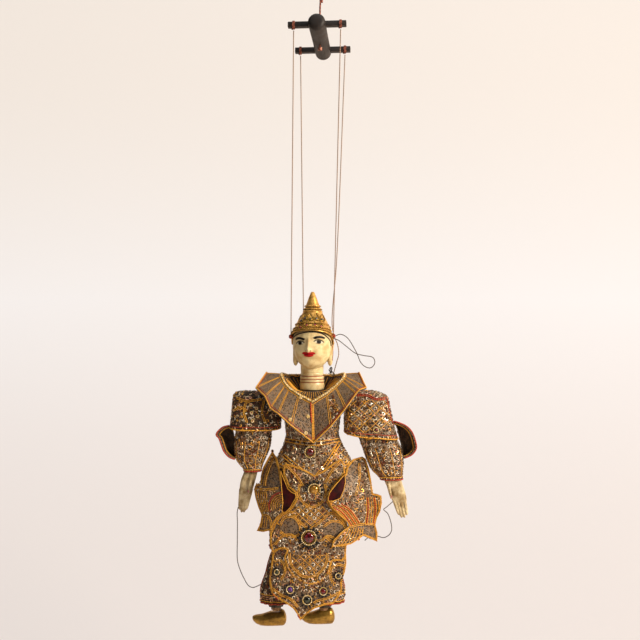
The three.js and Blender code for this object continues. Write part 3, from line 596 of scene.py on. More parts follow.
# Its third colour is the painted shade in its hollows.
NAIL_PAINT = PaintedWood("pink nail paint", 0.35, paint_colour="#c98f86", aged="#a8675e", recess_shade="#5c2f28")
FACE_PAINT = PaintedFace("cream oil paint, face", 0.4, gloss=0.12)
NECK_PAINT = RingedNeck("cream oil paint, ringed neck", 0.34)
GILT = GiltWood("gilded wood", 0.36, 0.6, leaf="#e8b75e", rubbed="#8c5b22")
SHOE_GILT = GiltWood("gilded shoe leather", 0.3, 0.75, leaf="#b08a3e", rubbed="#6f5324", blotch_mm=9.0)
BRASS = GiltWood("brass wire", 0.3, 1.0, leaf="#c39a45", rubbed="#8f6a2b")
NET_CLOTH = MeshCloth("metal-thread net on padding", 0.5, 0.3)
# Dark net: the dark cloth of the skirt, the trousers and the wings' inner side, and painted shade on the left
# puffed sleeve.
DARK_NET_AND_SLEEVE_SHADE = MeshCloth("dark metal-thread net", 0.6, 0.2, net="#0d0907", thread="#4a3a2b", warm="#5a3a1f")
VELVET = PlainCloth("dark brown velvet", 0.85, base="#0f0805", faded="#2c1a10", sheen=0.3)
LAPEL_SATIN = PlainCloth("dark maroon satin", 0.6, gloss=0.15, base="#180303", faded="#4a0b0a", sheen=0.0)
ANKLE_CLOTH = PlainCloth("grey-green cotton", 0.9, base="#26241a", faded="#5b5847", sheen=0.1)
GOLD_CORD = TwistedThread(
    "couched gold cord", 0.45, 0.15, strand="#ffc33c", between="#a8551a", pitch_mm=2.4, lit_share=0.25
)
RED_CORD = TwistedThread("red silk cord", 0.55, 0.0, strand="#cf4a1c", between="#6d160c")
COTTON = TwistedThread(
    "pale cotton string", 0.9, 0.0, strand="#b99a84", between="#77604f", around_mm=5.0, pitch_mm=4.0
)
RED_COTTON = TwistedThread(
    "red-brown cotton cord", 0.85, 0.0, strand="#a85f48", between="#4f2419", around_mm=9.4, pitch_mm=6.0
)
DARK_COTTON = TwistedThread(
    "dark cotton cord", 0.85, 0.0, strand="#6f5f52", between="#2b231d", around_mm=4.4, pitch_mm=3.0
)
FRINGE = PlainCloth("black wool fringe", 0.9, base="#0a0705", faded="#2a2018", sheen=0.1)
SEQUINS = Sequins("foil sequins", 0.3, 0.45)
PEARL = Glass("cream glass beads", 0.2, 0.0, deep="#d8b66a", painted_glow="#fff4cf")
RUBY = Glass("ruby glass", 0.1, 0.1, deep="#3a0408", painted_glow="#8e111c")
AMBER = Glass("amber glass", 0.14, 0.4, deep="#a8761f", painted_glow="#e6b244")
AMETHYST = Glass("purple glass", 0.06, 0.2, deep="#2b0f3d", painted_glow="#7a3fb0")
GREEN_GLASS = Glass("bottle-green glass", 0.06, 0.2, deep="#0d1408", painted_glow="#3c4a22")
JET = Glass("black glass", 0.06, 0.1, deep="#070505", painted_glow="#1d1512")
PINK_GLASS = Glass("pink glass", 0.08, 0.2, deep="#8c1f38", painted_glow="#e0567c")


class Sewn(Enum):
    """What can be sewn on a piece, in the order of a trim mesh's material slots."""

    GOLD_CORD = GOLD_CORD
    RED_CORD = RED_CORD
    SEQUINS = SEQUINS
    PEARL = PEARL
    RUBY = RUBY
    AMBER = AMBER
    AMETHYST = AMETHYST
    GREEN = GREEN_GLASS
    JET = JET
    FRINGE = FRINGE
    BEZEL = BRASS
    PINK = PINK_GLASS

    @property
    def index(self) -> int:
        """The material slot's number."""
        return list(Sewn).index(self)


class Side(Enum):
    """A side of the figure, as the viewer sees it."""

    LEFT = -1
    RIGHT = 1

    @property
    def word(self) -> str:
        """The side's name in a piece's name."""
        return self.name.lower()


# Lines on the drawing


def smooth(points: Sequence[Sequence[float]], step: float) -> list[Vector]:
    """Runs a smooth line through points, with a point at about every step of its length.

    Args:
        points: corners of the line, in two or three dimensions.
        step: the spacing, in the points' own measure.

    Returns:
        The points of the centripetal Catmull-Rom line.
    """
    corners = [Vector(p) for p in points]
    ends = [2 * corners[0] - corners[1], *corners, 2 * corners[-1] - corners[-2]]
    found = []
    for a, b, c, d in zip(ends, ends[1:], ends[2:], ends[3:]):
        before, span, after = (max((q - p).length, 1e-9) ** 0.5 for p, q in ((a, b), (b, c), (c, d)))
        leave = ((b - a) / before - (c - a) / (before + span) + (c - b) / span) * span
        reach = ((c - b) / span - (d - b) / (span + after) + (d - c) / after) * span
        count = max(1, round((c - b).length / step))
        for k in range(count):
            t = k / count
            found.append(
                b * (1 - t) ** 2 * (1 + 2 * t) + c * t * t * (3 - 2 * t)
                + leave * t * (1 - t) ** 2 - reach * t * t * (1 - t)
            )
    return [*found, corners[-1]]


def straight(points: Sequence[Sequence[float]], step: float) -> list[Vector]:
    """Runs straight between corners, with a point at about every step.

    Args:
        points: corners of the line.
        step: the spacing.

    Returns:
        The points.
    """
    corners = [Vector(p) for p in points]
    found = []
    for a, b in zip(corners, corners[1:]):
        count = max(1, round((b - a).length / step))
        found += [a.lerp(b, k / count) for k in range(count)]
    return [*found, corners[-1]]


def beside(line: Sequence[Vector], shift: float) -> list[Vector]:
    """Shifts a flat line sideways."""
    found = []
    for i, p in enumerate(line):
        run = line[min(i + 1, len(line) - 1)] - line[max(i - 1, 0)]
        found.append(p + Vector((-run.y, run.x)).normalized() * shift)
    return found


def every(line: Sequence[Vector], spacing: float) -> list[Vector]:
    """Gives points on a line at even spacing, starting half a spacing in.

    Args:
        line: the line.
        spacing: distance between two points.

    Returns:
        The points.
    """
    found, left = [], spacing / 2
    for a, b in zip(line, line[1:]):
        run = (b - a).length
        while left <= run:
            found.append(a.lerp(b, left / run))
            left += spacing
        left -= run
    return found


def inside(outline: Sequence[Sequence[float]], p: Sequence[float]) -> bool:
    """Tells whether a flat point lies in an outline."""
    odd = False
    for (x1, y1), (x2, y2) in zip(outline, [*outline[1:], outline[0]]):
        if (y1 > p[1]) != (y2 > p[1]) and p[0] < (x2 - x1) * (p[1] - y1) / (y2 - y1) + x1:
            odd = not odd
    return odd


def lattice(outline: Line, pitch: float, slope: float = 45.0) -> tuple[list[list[Vector]], list[Vector]]:
    """Lays two sets of crossing lines in an outline.

    Args:
        outline: the region, in drawing units.
        pitch: distance between the lines.
        slope: their slope in degrees, up and down.

    Returns:
        The runs of line inside the outline, and the middles of the cells.
    """
    xs, ys = zip(*outline)
    middle = Vector(((min(xs) + max(xs)) / 2, (min(ys) + max(ys)) / 2))
    half = math.hypot(max(xs) - min(xs), max(ys) - min(ys)) / 2
    count = int(half / pitch) + 1
    ways = [Vector((math.cos(math.radians(a)), math.sin(math.radians(a)))) for a in (slope, -slope)]
    runs: list[list[Vector]] = []
    for way in ways:
        across = Vector((-way.y, way.x))
        for k in range(-count, count + 1):
            run: list[Vector] = []
            for i in range(int(2 * half) + 1):
                p = middle + across * (k * pitch) + way * (i - half)
                if inside(outline, p):
                    run.append(p)
                elif run:
                    runs.append(run)
                    run = []
            if run:
                runs.append(run)
    step = pitch / math.sin(math.radians(2 * slope))
    cells = [middle + ways[0] * (i + 0.5) * step + ways[1] * (j + 0.5) * step
             for i in range(-2 * count, 2 * count) for j in range(-2 * count, 2 * count)]
    return [r for r in runs if len(r) > 2], [c for c in cells if inside(outline, c)]


# Meshes


def new_mesh() -> tuple[Mesh, bmesh.types.BMLayerItem]:
    """Gives an empty mesh with a measure layer in metres."""
    bm = bmesh.new()
    bm.faces.layers.float.new("tone")
    return bm, bm.loops.layers.uv.new("measure")


def mapped(
    bm: Mesh,
    columns: int,
    rows: int,
    place: Callable[[float, float], Vector],
    size: tuple[float, float],
    slot: int = 0,
) -> list[bmesh.types.BMVert]:
    """Lays a grid over a surface given by two shares, and merges where it closes on itself.

    Args:
        bm: the mesh that the grid joins.
        columns: faces along the first share.
        rows: faces along the second.
        place: gives the point for two shares from 0 to 1.
        size: the cloth's width and length in metres, for its measure.
        slot: material slot of the faces.

    Returns:
        The grid's vertices that are left.
    """
    made = bmesh.ops.create_grid(bm, x_segments=columns, y_segments=rows, size=0.5)["verts"]
    measure = bm.loops.layers.uv.verify()
    shares = {v: (v.co.x + 0.5, v.co.y + 0.5) for v in made}
    faces = {f for v in made for f in v.link_faces}
    for f in faces:
        f.material_index = slot
        f.smooth = True
        for loop in f.loops:
            u, v = shares[loop.vert]
            loop[measure].uv = (u * size[0], v * size[1])
    for vert, (u, v) in shares.items():
        vert.co = place(u, v)
    bmesh.ops.remove_doubles(bm, verts=made, dist=1e-6)
    return [v for v in made if v.is_valid]


def sweep(
    bm: Mesh,
    line: Sequence[Vector],
    radius: float,
    sides: int = 6,
    slot: int = 0,
    taper: bool = True,
) -> list[bmesh.types.BMVert]:
    """Sweeps a round cord along a line, its ends drawn in and closed.

    Args:
        bm: the mesh that the cord joins.
        line: the cord's middle.
        radius: the cord's radius.
        sides: faces round it.
        slot: material slot of the faces.
        taper: whether the ends come to a point over one diameter.

    Returns:
        The cord's vertices.
    """
    runs = [(b - a).normalized() for a, b in zip(line, line[1:])]
    ways = [runs[0], *[(a + b).normalized() for a, b in zip(runs, runs[1:])], runs[-1]]
    start = ways[0].orthogonal().normalized()
    frames = []
    for way in ways:
        start = (start - way * start.dot(way)).normalized()
        frames.append((start.copy(), way.cross(start)))
    last = len(line) - 1
    closing = [(line[k], frames[k], 0.0) for k in (0, -1)]
    spots = [closing[0], *[(p, f, 1.0) for p, f in zip(line, frames)], closing[1]]
    if taper and last >= 3:
        for k, end in ((1, 0), (-2, -1)):
            spots[k] = (line[end], frames[end], 0.7)
    length = sum((b - a).length for a, b in zip(line, line[1:]))

    def place(u: float, v: float) -> Vector:
        """Gives the point round the cord at two shares."""
        middle, (right, up), share = spots[round(v * (last + 2))]
        turn = math.tau * u
        return middle + (right * math.cos(turn) + up * math.sin(turn)) * (radius * share)

    return mapped(bm, sides, last + 2, place, (math.tau * radius, length), slot)


def turned(bm: Mesh, profile: Sequence[Pair], steps: int, matrix: Matrix, slot: int = 0) -> None:
    """Spins a profile of radius and height in millimetres round Z, then places it and adds it to a mesh.

    Args:
        bm: the mesh that the body joins.
        profile: pairs of radius and height, from one end of the axis to the other.
        steps: faces round it.
        matrix: where the body goes.
        slot: material slot of its faces.
    """
    body = bmesh.new()
    body.loops.layers.uv.new("measure")
    verts = [body.verts.new((r * MM, 0, z * MM)) for r, z in profile]
    edges = [body.edges.new(pair) for pair in zip(verts, verts[1:])]
    spun = [*verts, *edges]
    bmesh.ops.spin(
        body, geom=spun, cent=(0, 0, 0), axis=(0, 0, 1), angle=math.tau, steps=steps, use_merge=True
    )
    bmesh.ops.remove_doubles(body, verts=body.verts, dist=1e-6)
    bmesh.ops.recalc_face_normals(body, faces=body.faces)
    for f in body.faces:
        f.smooth = True
        f.material_index = slot
    bmesh.ops.transform(body, matrix=matrix, verts=body.verts)
    data = bpy.data.meshes.new("turned")
    body.to_mesh(data)
    body.free()
    bm.from_mesh(data)
    bpy.data.meshes.remove(data)


def seat(made: Object, body: str, *nodes: str) -> None:
    """Lets a piece stand for nodes, if any, and ride with a body."""
    if nodes:
        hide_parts(*nodes)
    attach(made, body)


def spoke(k: float, count: float, reach: float = 1.0, up: float = 0.0) -> Vector:
    """Gives the vector at step k of count round a turn."""
    turn = math.tau * k / count
    return Vector((reach * math.cos(turn), reach * math.sin(turn), up))


def hoop(stand: Matrix, radius: float, count: int, up: float = 0.0) -> list[Vector]:
    """Gives the closed round line of a turn of cord."""
    return [stand @ spoke(k, count, radius, up) for k in range(count + 1)]


def to_object(
    bm: Mesh, name: str, finishes: Sequence[Finish], slot: str, smooth_angle: float | None = None
) -> Object:
    """Makes a piece of a mesh under construction.

    Args:
        bm: the mesh, which is freed.
        name: the piece's name.
        finishes: its finishes, by material slot.
        slot: not used.
        smooth_angle: edges sharper than this many degrees stay sharp.

    Returns:
        The object, at the origin.
    """
    data = bpy.data.meshes.new(name)
    bm.to_mesh(data)
    bm.free()
    if smooth_angle is not None:
        data.shade_smooth()
        data.set_sharp_from_angle(angle=math.radians(smooth_angle))
    for finish in finishes:
        data.materials.append(finish.material())
    made = bpy.data.objects.new(name, data)
    bpy.context.scene.collection.objects.link(made)
    return made


def remeshed(bm: Mesh, voxel_mm: float, soften: int) -> Mesh:
    """Joins overlapping closed bodies into one carved body.

    Args:
        bm: the mesh of the bodies, which is freed.
        voxel_mm: the size of a face.
        soften: how many times the result is smoothed.

    Returns:
        The carved body as a new mesh.
    """
    data = bpy.data.meshes.new("carving")
    bm.to_mesh(data)
    bm.free()
    block = bpy.data.objects.new("carving", data)
    bpy.context.scene.collection.objects.link(block)
    carve = block.modifiers.new("carve", "REMESH")
    carve.mode = "VOXEL"
    carve.voxel_size = voxel_mm * MM
    carved = bpy.data.meshes.new_from_object(block.evaluated_get(bpy.context.evaluated_depsgraph_get()))
    bpy.data.objects.remove(block)
    bpy.data.meshes.remove(data)
    found, _ = new_mesh()
    found.from_mesh(carved)
    bpy.data.meshes.remove(carved)
    for _ in range(soften):
        ways = {f"use_axis_{axis}": True for axis in "xyz"}
        bmesh.ops.smooth_vert(found, verts=found.verts, factor=0.5, **ways)
    for f in found.faces:
        f.smooth = True
    return found


NEIGHBOURS = tuple(product((-1, 0, 1), repeat=3))


class Skin:
    """The outer face of a piece, which trim is laid on."""

    def __init__(self, bm: Mesh) -> None:
        """Keeps the mesh's faces for laying and for strewing."""
        bm.normal_update()
        self.tree = BVHTree.FromBMesh(bm)
        self.faces = [([v.co.copy() for v in f.verts], f.normal.copy(), f.calc_area()) for f in bm.faces]

    def front(self, across: float, down: float) -> Spot | None:
        """Gives the place and normal under a point of the front drawing."""
        way = (seen(across, down) - EYE).normalized()
        place, normal, _, _ = self.tree.ray_cast(EYE, way)
        if place is None or normal.dot(way) > 0.35:
            return None
        return place, normal if normal.dot(way) < 0 else -normal

    def near(self, point: Vector) -> Spot:
        """Gives the nearest place and its normal."""
        place, normal, _, _ = self.tree.find_nearest(point)
        return place, normal

    def strew(self, spacing: float, draw: random.Random, clear: Callable[[Vector], bool]) -> list[Spot]:
        """Finds evenly crowded places all over the skin.

        Args:
            spacing: least distance between two.
            draw: the seeded source of chance.
            clear: tells whether a place is free of other trim.

        Returns:
            The places with their normals.
        """
        areas = [area for _, _, area in self.faces]
        tries = int(sum(areas) / spacing**2 * 3.2)
        taken: dict[tuple[int, ...], list[Vector]] = {}
        found: list[Spot] = []
        for corners, normal, _ in draw.choices(self.faces, areas, k=tries):
            k = draw.randrange(1, len(corners) - 1)
            a, b = draw.random(), draw.random()
            if a + b > 1:
                a, b = 1 - a, 1 - b
            p = corners[0] + (corners[k] - corners[0]) * a + (corners[k + 1] - corners[0]) * b
            cell = tuple(math.floor(c / spacing) for c in p)
            around = (
                q for step in NEIGHBOURS for q in taken.get(tuple(c + d for c, d in zip(cell, step)), ())
            )
            if any((p - q).length < spacing for q in around) or not clear(p):
                continue
            taken.setdefault(cell, []).append(p)
            found.append((p, normal))
        return found


def template(build: Callable[[Mesh], None]) -> bpy.types.Mesh:
    """Makes a small shape once, to be sewn on many times.

    Args:
        build: adds the shape, of radius 1, to a mesh.

    Returns:
        The shape as a mesh.
    """
    bm, _ = new_mesh()
    build(bm)
    data = bpy.data.meshes.new("template")
    bm.to_mesh(data)
    bm.free()
    return data


def sequin_shape(bm: Mesh) -> None:
    """A cupped foil disc of radius 1 with the dark bead that holds it, on a patch of dark netting.

    Args:
        bm: the mesh that it joins.
    """
    patch = Matrix.Translation((0, 0, 0.03))
    bmesh.ops.create_circle(bm, cap_ends=True, segments=8, radius=1.5, matrix=patch)
    for f in bm.faces:
        f.material_index = Sewn.FRINGE.index
    foil, bead = (8, 1.0, 0.78, 0.3, 0.2, Sewn.SEQUINS), (6, 0.3, 0.16, 0.24, 0.42, Sewn.FRINGE)
    for segments, low, high, depth, up, sewn in (foil, bead):
        before = len(bm.faces)
        stand = Matrix.Translation((0, 0, up))
        bmesh.ops.create_cone(
            bm, cap_ends=True, segments=segments, radius1=low, radius2=high, depth=depth, matrix=stand
        )
        bm.faces.ensure_lookup_table()
        for f in bm.faces[before:]:
            f.material_index = sewn.index


def ball_shape(bm: Mesh, sewn: Sewn, up: float) -> None:
    """A round bead of radius 1."""
    bmesh.ops.create_icosphere(bm, subdivisions=2, radius=1.0, matrix=Matrix.Translation((0, 0, up)))
    for f in bm.faces:
        f.smooth = True
        f.material_index = sewn.index


def standing(spot: Spot, size: float, turn: float = 0.0) -> Matrix:
    """Gives the matrix that stands a shape of size 1 on a place, its Z along the normal."""
    place, normal = spot
    upright = normal.to_track_quat("Z", "Y").to_matrix().to_4x4()
    return Matrix.Translation(place) @ upright @ Matrix.Rotation(turn, 4, "Z") @ Matrix.Scale(size, 4)


class Trim:
    """Cord, sequins, beads and stones sewn on one piece, gathered in one mesh."""

    def __init__(self, name: str, skin: Skin, seed: int) -> None:
        """Starts with nothing sewn.

        Args:
            name: the trim's name.
            skin: what it is laid on.
            seed: the seed of its chance.
        """
        self.name = name
        self.skin = skin
        self.bm, _ = new_mesh()
        self.draw = random.Random(seed)
        self.taken: list[tuple[Vector, float]] = []
        self.laid: dict[str, list[tuple[Matrix, float]]] = {"sequin": [], "bead": [], "boss": []}

    def lay(self, line: Sequence[Vector]) -> list[list[Spot]]:
        """Lays a drawn line on the skin, broken where the skin is missed.

        Args:
            line: points of the front drawing.

        Returns:
            The runs of places.
        """
        runs: list[list[Spot]] = [[]]
        for p in line:
            spot = self.skin.front(p.x, p.y)
            if spot is None or (runs[-1] and (spot[0] - runs[-1][-1][0]).length > 14 * MM):
                runs.append([])
            if spot is not None:
                runs[-1].append(spot)
        return [r for r in runs if len(r) > 1]

    def cord(self, spots: Sequence[Spot], radius: float = CORD_RADIUS, sewn: Sewn = Sewn.GOLD_CORD) -> None:
        """Sews a cord along places on the skin."""
        middle = [place + normal * (radius * 0.55) for place, normal in spots]
        sweep(self.bm, middle, radius, 6, sewn.index)
        self.taken += [(p, radius + 0.9 * MM) for p in middle]

    def lines(
        self,
        drawn: Sequence[Line],
        shifts: Sequence[float] = (0.0,),
        radius: float = CORD_RADIUS,
        sewn: Sewn = Sewn.GOLD_CORD,
    ) -> None:
        """Sews cords along lines of the front drawing, each shifted as asked.

        Args:
            drawn: the lines.
            shifts: how far beside its line each cord lies.
            radius: the cords' radius.
            sewn: their finish.
        """
        for points in drawn:
            line = smooth(points, LAID_STEP)
            for shift in shifts:
                for run in self.lay(beside(line, shift) if shift else line):
                    self.cord(run, radius, sewn)

    def row(self, spots: Sequence[Spot], spacing: float = 4.2 * MM, size: float = SEQUIN_RADIUS) -> None:
        """Sews a row of sequins along places on the skin."""
        for p in every([place for place, _ in spots], spacing):
            self.sequin(self.skin.near(p), size)

    def rows(self, drawn: Sequence[Line]) -> None:
        """Sews rows of sequins along lines of the front drawing."""
        for points in drawn:
            for run in self.lay(smooth(points, LAID_STEP)):
                self.row(run)

    def sequin(self, spot: Spot, size: float = SEQUIN_RADIUS) -> None:
        """Sews one sequin, tilted and toned by chance."""
        place, normal = spot
        lean = Vector([self.draw.gauss(0, 0.16) for _ in range(3)])
        stand = standing((place, (normal + lean).normalized()), size)
        self.laid["sequin"].append((stand, self.draw.random()))
        self.taken.append((place, size + 0.7 * MM))

    def bead(self, spot: Spot, size: float) -> None:
        """Sews one glass bead."""
        self.laid["bead"].append((standing(spot, size), 0.0))
        self.taken.append((spot[0], size + 0.7 * MM))

    def beads(self, stand: Matrix, normal: Vector, count: int, reach: float, up: float, size: float) -> None:
        """Sews a ring of glass beads."""
        for k in range(count):
            self.bead((stand @ spoke(k, count, reach, up), normal), size)

    def tufts(
        self, stand: Matrix, count: int, reach: float, bend: Sequence[Pair], radius: float, sides: int
    ) -> None:
        """Sews a ring of black tufts that bend outwards.

        Args:
            stand: where the ring goes.
            count: how many tufts.
            reach: the ring's radius.
            bend: a tuft's points, by shares of the reach and rises in millimetres.
            radius: a tuft's radius.
            sides: faces round it.
        """
        for k in range(count):
            line = [stand @ spoke(k, count, reach * share, up * MM) for share, up in bend]
            sweep(self.bm, line, radius, sides, Sewn.FRINGE.index)

    def boss(self, spot: Spot, size: float) -> None:
        """Carves one small gilt bead."""
        self.laid["boss"].append((standing(spot, size), 0.0))

    def stone(self, spot: Spot | None, radius: float, sewn: Sewn, fringed: bool = True) -> None:
        """Sews a domed stone in a ring of beads, on a tuft of black fringe, where the skin is met.

        Args:
            spot: its place, or None.
            radius: its radius with its beads.
            sewn: its glass.
            fringed: whether tufts stand round it.
        """
        if not spot:
            return
        stand = standing(spot, 1.0)
        size = radius / MM
        dome = [(0, 2.6), (size * 0.3, 2.4), (size * 0.52, 1.6), (size * 0.58, 0.4), (0, 0.2)]
        turned(self.bm, dome, 14, stand, sewn.index)
        bed = [(0, 0.9), (size * 0.8, 0.8), (size * 1.02, 0.2), (0, -0.4)]
        turned(self.bm, bed, 16, stand, Sewn.FRINGE.index)
        ring = radius * 0.8
        self.beads(stand, spot[1], max(9, round(math.tau * ring / (2.0 * MM))), ring, 0.7 * MM, 1.05 * MM)
        if fringed:
            self.tufts(stand, 11, radius, ((0.95, 0.8), (1.2, 1.3), (1.45, 0.7)), 1.35 * MM, 5)
        self.taken.append((spot[0], radius * (1.55 if fringed else 1.15)))

    def net(self, outline: Line, pitch: float, slope: float = 45.0) -> None:
        """Sews a lattice of thin cords with a sequin in each cell.

        Args:
            outline: the region, on the front drawing.
            pitch: distance between the cords.
            slope: their slope in degrees.
        """
        runs, cells = lattice(outline, pitch, slope)
        for run in runs:
            for spots in self.lay(run):
                self.cord(spots, 0.5 * MM)
        for cell in cells:
            spot = self.skin.front(*cell)
            if spot:
                self.sequin(spot, SEQUIN_RADIUS * 1.1)

    def strew(
        self,
        spacing: float = SEQUIN_SPACING,
        bare: Sequence[Line] = (),
        kept: Sequence[Line] = (),
    ) -> None:
        """Strews sequins over what is still free.

        Args:
            spacing: least distance between two.
            bare: regions of the drawing that stay free.
            kept: regions of the drawing to keep to, if any.
        """
        tree = kdtree.KDTree(max(1, len(self.taken)))
        for i, (p, _) in enumerate(self.taken):
            tree.insert(p, i)
        tree.balance()
        widest = max((reach for _, reach in self.taken), default=0.0)

        def clear(p: Vector) -> bool:
            """Tells whether a place is free.

            Args:
                p: the place.

            Returns:
                True where a sequin may go.
            """
            if any((p - q).length < self.taken[i][1] for q, i, _ in tree.find_range(p, widest)):
                return False
            reach = (p.y - EYE.y) / SHEET_DISTANCE
            flat = (p.x / reach + SHEET_MIDDLE, SHEET_MIDDLE - (p.z - EYE.z) / reach)
            if kept:
                return p.y < 0 and any(inside(region, flat) for region in kept)
            return p.y > 0 or not any(inside(region, flat) for region in bare)

        for spot in self.skin.strew(spacing, self.draw, clear):
            self.sequin(spot, SEQUIN_RADIUS * self.draw.uniform(0.75, 1.1))

    def piece(self, body: str, slot: str) -> Object:
        """Puts all that is sewn on in one object that rides with the body.

        Args:
            body: the body.
            slot: handed on to to_object.

        Returns:
            The object.
        """
        for kind, shape in SHAPES:
            if self.laid[kind]:
                data = repeated(shape, self.laid[kind])
                self.bm.from_mesh(data)
                bpy.data.meshes.remove(data)
        made = to_object(self.bm, self.name, [s.value for s in Sewn], slot)
        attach(made, body)
        log.info("%s: %d faces", self.name, len(made.data.polygons))
        return made


def repeated(shape: bpy.types.Mesh, laid: Sequence[tuple[Matrix, float]]) -> bpy.types.Mesh:
    """Copies a template to every place it is sewn on.

    Args:
        shape: the template.
        laid: each copy's matrix and tone.

    Returns:
        One mesh of all the copies.
    """
    count = len(laid)
    points = np.array([[*v.co, 1.0] for v in shape.vertices])
    spread = np.einsum("kij,nj->kni", np.array([m for m, _ in laid]), points)[:, :, :3]
    corners = np.array([loop.vertex_index for loop in shape.loops])
    starts = np.array([p.loop_start for p in shape.polygons])
    made = bpy.data.meshes.new("repeated")
    made.vertices.add(count * len(points))
    made.loops.add(count * len(corners))
    made.polygons.add(count * len(starts))
    made.vertices.foreach_set("co", spread.astype(np.float32).ravel())
    steps = np.arange(count)[:, None]
    made.loops.foreach_set("vertex_index", (corners + steps * len(points)).astype(np.int32).ravel())
    made.polygons.foreach_set("loop_start", (starts + steps * len(corners)).astype(np.int32).ravel())
    made.polygons.foreach_set("material_index", np.tile([p.material_index for p in shape.polygons], count))
    made.polygons.foreach_set("use_smooth", np.tile([p.use_smooth for p in shape.polygons], count))
    tone = made.attributes.new("tone", "FLOAT", "FACE")
    tone.data.foreach_set("value", np.repeat([t for _, t in laid], len(starts)).astype(np.float32))
    made.uv_layers.new(name="measure")
    made.update(calc_edges=True)
    return made


SHAPES = (
    ("sequin", template(sequin_shape)),
    ("bead", template(lambda bm: ball_shape(bm, Sewn.PEARL, 0.6))),
    ("boss", template(lambda bm: ball_shape(bm, Sewn.BEZEL, 0.0))),
)


# Cloth


@dataclass(frozen=True)
class Oval:
    """One level of a tube of cloth, in millimetres: centre, half-widths and squareness."""

    x: float
    z: float
    a: float
    b: float
    y: float = 0.0
    n: float = 2.2

    def at(self, turn: float, lift: float = 0.0) -> Vector:
        """Gives the point at an angle, raised by lift.

        Args:
            turn: the angle from +X.
            lift: millimetres.

        Returns:
            The point, in metres.
        """
        c, s = math.cos(turn), math.sin(turn)
        power = 2 / self.n
        return MM * Vector((
            self.x + self.a * math.copysign(abs(c) ** power, c),
            self.y + self.b * math.copysign(abs(s) ** power, s),
            self.z + lift,
        ))


def level(rows: Sequence[Oval], share: float) -> Oval:
    """Gives the smooth in-between level at a share of the rows.

    Args:
        rows: the levels, from one end to the other.
        share: how far along, from 0 to 1.

    Returns:
        The level there.
    """
    s = min(max(share, 0.0), 1.0) * (len(rows) - 1)
    i = min(int(s), len(rows) - 2)
    f = s - i
    near = [rows[min(max(k, 0), len(rows) - 1)] for k in (i - 1, i, i + 1, i + 2)]

    def spline(key: str) -> float:
        """Runs a smooth line through one measure.

        Args:
            key: the measure's name.

        Returns:
            Its value at the share.
        """
        p0, p1, p2, p3 = (getattr(row, key) for row in near)
        return (
            p1 * (1 + 2 * f) * (1 - f) ** 2
            + (p2 - p0) / 2 * f * (1 - f) ** 2
            + p2 * f * f * (3 - 2 * f)
            + (p3 - p1) / 2 * f * f * (f - 1)
        )

    return Oval(*(spline(key) for key in ("x", "z", "a", "b", "y", "n")))


@dataclass
class ClothTube:
    """A padded tube of cloth: a bodice, a sleeve, a skirt or a trouser leg."""

    name: str
    body: str
    nodes: tuple[str, ...]
    rows: tuple[Oval, ...]
    finish: Finish
    slot: str = "sequin_cloth"
    thickness: float = 2.2 * MM
    columns: int = 72
    levels: int = 30
    pleats: int = 0
    pleat_mm: float = 0.0
    lift: Callable[[float], float] = lambda turn: 0.0
    lift_power: float = 4.0

    def place(self, u: float, v: float) -> Vector:
        """Gives the point at a share of the way round, from +X, and a share of the way down.

        Args:
            u: the share round.
            v: the share down.

        Returns:
            The point.
        """
        turn = math.tau * u
        row = level(self.rows, v)
        if self.pleats:
            swell = self.pleat_mm * v * math.sin(self.pleats * turn + 1.3 * math.sin(3 * turn))
            row = replace(row, a=row.a + swell, b=row.b + swell)
        return row.at(turn, self.lift(turn) * v**self.lift_power)

    def build(self) -> tuple[Object, Skin]:
        """Makes the cloth with its thickness, and its outer face for trim.

        Returns:
            The cloth and its skin.
        """
        bm, _ = new_mesh()
        girth = math.pi * (self.rows[-1].a + self.rows[-1].b) * MM
        length = abs(self.rows[0].z - self.rows[-1].z) * MM
        mapped(bm, self.columns, self.levels, self.place, (girth, length))
        outward(bm, lambda f: f.calc_center_median() - self.axis(f.calc_center_median().z))
        skin = Skin(bm)
        made = to_object(bm, self.name, [self.finish, VELVET], self.slot)
        thicken(made, self.thickness)
        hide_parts(*self.nodes)
        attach(made, self.body)
        return made, skin

    def axis(self, z: float) -> Vector:
        """Gives the tube's middle at a height."""
        top, bottom = self.rows[0], self.rows[-1]
        share = min(max((z / MM - top.z) / (bottom.z - top.z), 0), 1)
        return Vector(((top.x + (bottom.x - top.x) * share) * MM, 0, z))

    def ring(self, skin: Skin, v: float, start: float = 0.0, end: float = 1.0) -> list[Spot]:
        """Gives places round the tube at a share of the way down."""
        count = self.columns * 2
        return [skin.near(self.place(start + (end - start) * k / count, v)) for k in range(count + 1)]

    def seam(self, skin: Skin, u: float, start: float = 0.02, end: float = 0.98) -> list[Spot]:
        """Gives places down the tube at a share of the way round."""
        return [skin.near(self.place(u, start + (end - start) * k / 40)) for k in range(41)]


def outward(bm: Mesh, way: Callable[[bmesh.types.BMFace], Vector]) -> None:
    """Turns an open surface's faces so that most of them face the given way."""
    bm.normal_update()
    if sum(f.normal.dot(way(f)) * f.calc_area() for f in bm.faces) < 0:
        bmesh.ops.reverse_faces(bm, faces=bm.faces)
    bm.normal_update()


def thicken(made: Object, thickness: float, offset: float = -1.0) -> None:
    """Gives a sheet its thickness, behind its face, with the lining's finish inside."""
    wall = made.modifiers.new("thickness", "SOLIDIFY")
    wall.thickness = thickness
    wall.offset = offset
    wall.material_offset = 1
    wall.use_quality_normals = True


